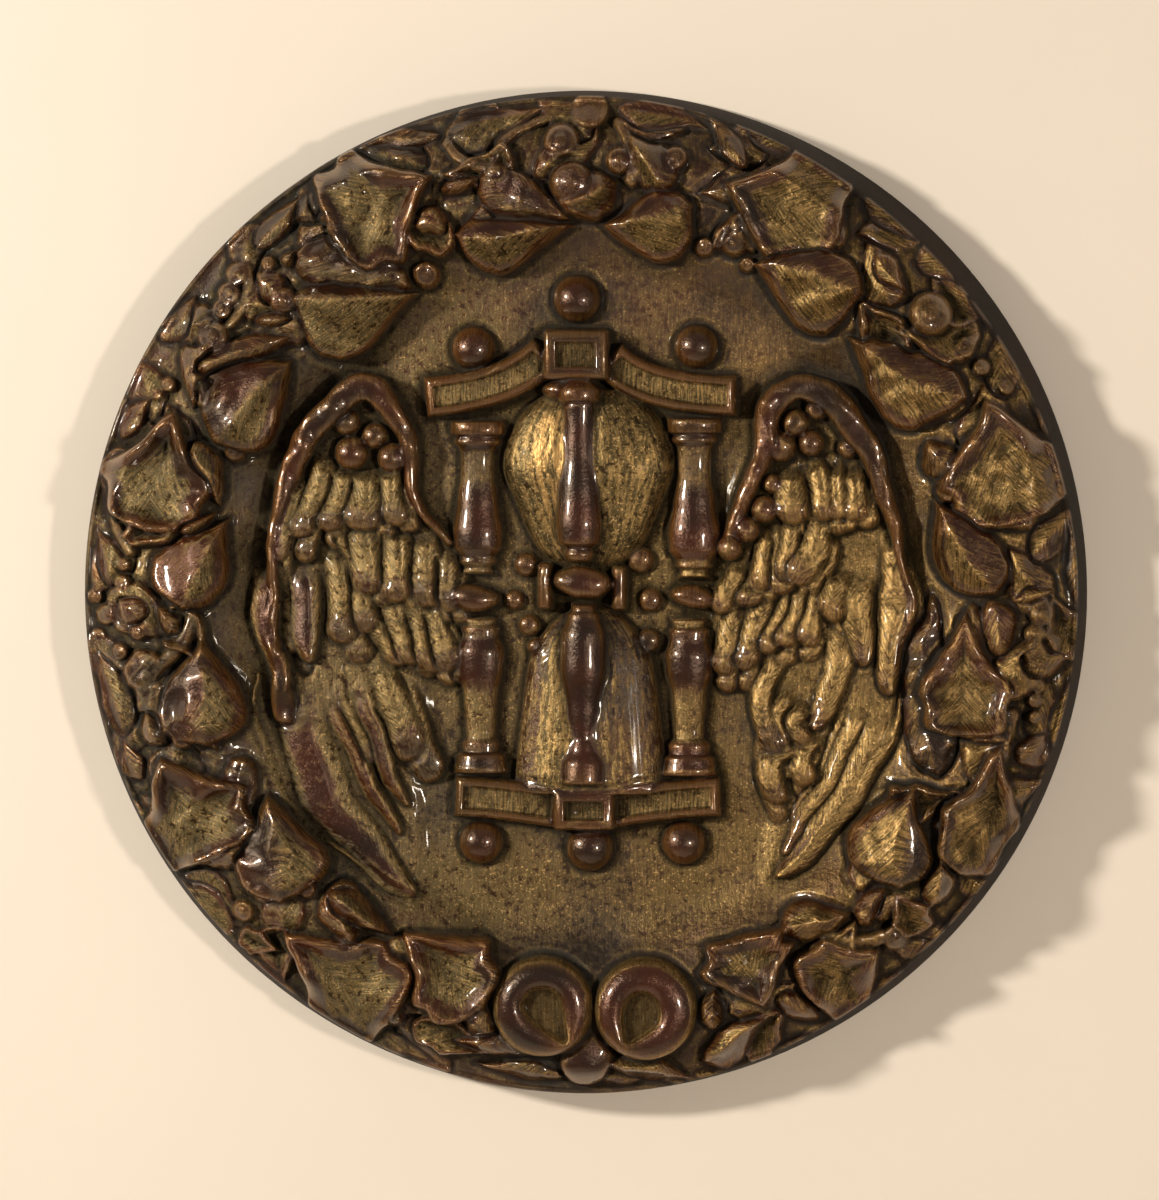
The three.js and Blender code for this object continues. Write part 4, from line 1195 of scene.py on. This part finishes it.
def wall_material():
    """Cream plaster in front, and clear from behind so that the back of the plaque shows."""
    material, nodes, shader, output = plain_material("cream_wall", CREAM, 0.9)
    behind = nodes.add("ShaderNodeNewGeometry").outputs["Backfacing"]
    clear = nodes.add("ShaderNodeBsdfTransparent").outputs[0]
    either = nodes.put(nodes.add("ShaderNodeMixShader"), (0, behind), (1, shader.outputs[0]), (2, clear))
    nodes.put(output, ("Surface", either[0]))
    return material


def build_plaque():
    relief = carve()
    plaque = placed("bronze_relief", plaque_mesh(relief))
    reduced(plaque)
    paint(plaque.data, relief)
    plaque.data.materials.append(bronze_material())
    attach(plaque, "root")
    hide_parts("relief_plaque")


def sheet_object(name, corners, faces, material):
    mesh = bpy.data.meshes.new(name)
    mesh.from_pydata(corners, [], faces)
    mesh.materials.append(material)
    made = placed(name, mesh)


def build_stage():
    """A wall and a floor. The wall is open behind the plaque, unseen, so that light reaches the back."""
    corners = []
    for k in range(WALL_SEGMENTS):
        angle = 2 * math.pi * k / WALL_SEGMENTS
        for radius in (RADIUS - BACK_RING, WALL_REACH):
            corners.append((radius * math.cos(angle), WALL_GAP, radius * math.sin(angle)))
    count = len(corners)
    faces = [(k, k + 1, (k + 3) % count, (k + 2) % count) for k in range(0, count, 2)]
    sheet_object("wall", corners, faces, wall_material())
    corners = [(x * FLOOR_HALF, y * FLOOR_HALF, FLOOR_LEVEL) for x, y in ((-1, -1), (1, -1), (1, 1), (-1, 1))]
    sheet_object("floor", corners, [(0, 1, 2, 3)], plain_material("pale_floor", CREAM, 0.8)[0])


def aim(made, target):
    made.rotation_euler = (Vector(target) - made.location).to_track_quat("-Z", "Y").to_euler()


def build_lights():
    for name, place, size, power, tint in LAMPS:
        light = bpy.data.lights.new(name, "AREA")
        light.shape = "DISK"
        light.size = size
        light.energy = power
        light.color = tint
        made = placed(name, light)
        made.location = place
        aim(made, (0, 0, 0))
    world = bpy.data.worlds.new("soft_room")
    world.use_nodes = True
    background = world.node_tree.nodes["Background"]
    background.inputs["Color"].default_value = ROOM_TINT
    background.inputs["Strength"].default_value = ROOM_LIGHT
    bpy.context.scene.world = world
    bpy.context.scene.view_settings.view_transform = "Standard"


def build_camera():
    camera = bpy.data.cameras.new("camera")
    made = placed("camera", camera)
    azimuth, elevation = math.radians(VIEW_AZIMUTH), math.radians(VIEW_ELEVATION)
    target = Vector((AIM_RIGHT, -FIELD_DEPTH, AIM_UP))
    away = Vector((math.sin(azimuth) * math.cos(elevation), -math.cos(azimuth) * math.cos(elevation),
                   math.sin(elevation)))
    made.location = target + VIEW_DISTANCE * away
    aim(made, target)
    camera.sensor_width = SENSOR
    camera.lens = SENSOR * VIEW_DISTANCE / FRAME_HEIGHT
    bpy.context.scene.camera = made


# Tone of the rim's side and of the back: golden share, hollow, wear and bloom. The rim's side is set fully
# hollow, dark patina with painted shade
RIM_TONE = [0.0, 1.0, 0.0, 0.1]
BACK_TONE = [0.1, 0.5, 0.0, 0.3]
# Colours of the bronze, from the patina's darkest places, also used as painted shade, to the rubbed ones,
# also used as painted light
HOLLOW_PATINA_AND_SHADE = colour(20, 16, 8)
DEEP_BROWN = colour(28, 13, 6)
WARM_BROWN = colour(60, 25, 10)
DARK_PITS = colour(42, 31, 15)
DULL_OLIVE = colour(72, 60, 35)
LIGHT_OLIVE = colour(124, 101, 62)
# Grey-green bloom, also used as painted light on the left side
BLOOM_AND_LEFT_LIGHT = colour(92, 87, 62)
BRIGHT_GRAIN = colour(186, 152, 100)
# Rubbed brass, also used as painted light
RUBBED_EDGE_AND_LIGHT = colour(204, 162, 102)
WAX_TINT = (1.0, 0.84, 0.64, 1.0)
WAX_ROUGHNESS = 0.09
# Noises of the surface: scale, detail and roughness, and the strokes' stretch across, along, out
STROKE_NOISE = (0.5, 4.0, 0.65)
GRAIN_NOISE = (1100.0, 3.0, 0.6)
MOTTLE_NOISE = (380.0, 5.0, 0.65)
CLOUD_NOISE = (26.0, 4.0, 0.55)
WALL_NOISE = 6.0
BRUSH_STRETCH = (1.0, 0.09, 0.0)

# The room: a plain wall behind the plaque and a pale floor well below it, in metres
WALL_REACH = 3.6
WALL_SEGMENTS = 96
WALL_GAP = 0.001
FLOOR_HALF = 3.0
FLOOR_LEVEL = -1.3
CREAM = colour(216, 207, 196)

# Lamps: name, place, size, watts and tint
LAMPS = [
    ["key", (-1.45, -1.2, 0.42), 0.18, 44, (1.0, 0.92, 0.79)],
    ["fill", (0.95, -1.5, -0.1), 0.15, 14, (1.0, 0.88, 0.74)],
    ["back", (-0.5, 1.5, 0.7), 0.8, 24, (1.0, 0.94, 0.84)],
]
ROOM_TINT = (1.0, 0.93, 0.82, 1.0)
ROOM_LIGHT = 0.22

# The camera: where the picture's middle falls on the plaque, and how the camera looks at it
VIEW_DISTANCE = 2.2
VIEW_AZIMUTH = 2.5
VIEW_ELEVATION = 2.5
FRAME_HEIGHT = 0.4745
SENSOR = 36.0
AIM_RIGHT = -0.001
AIM_UP = -0.0017

build_camera()
build_lights()
build_stage()
build_plaque()
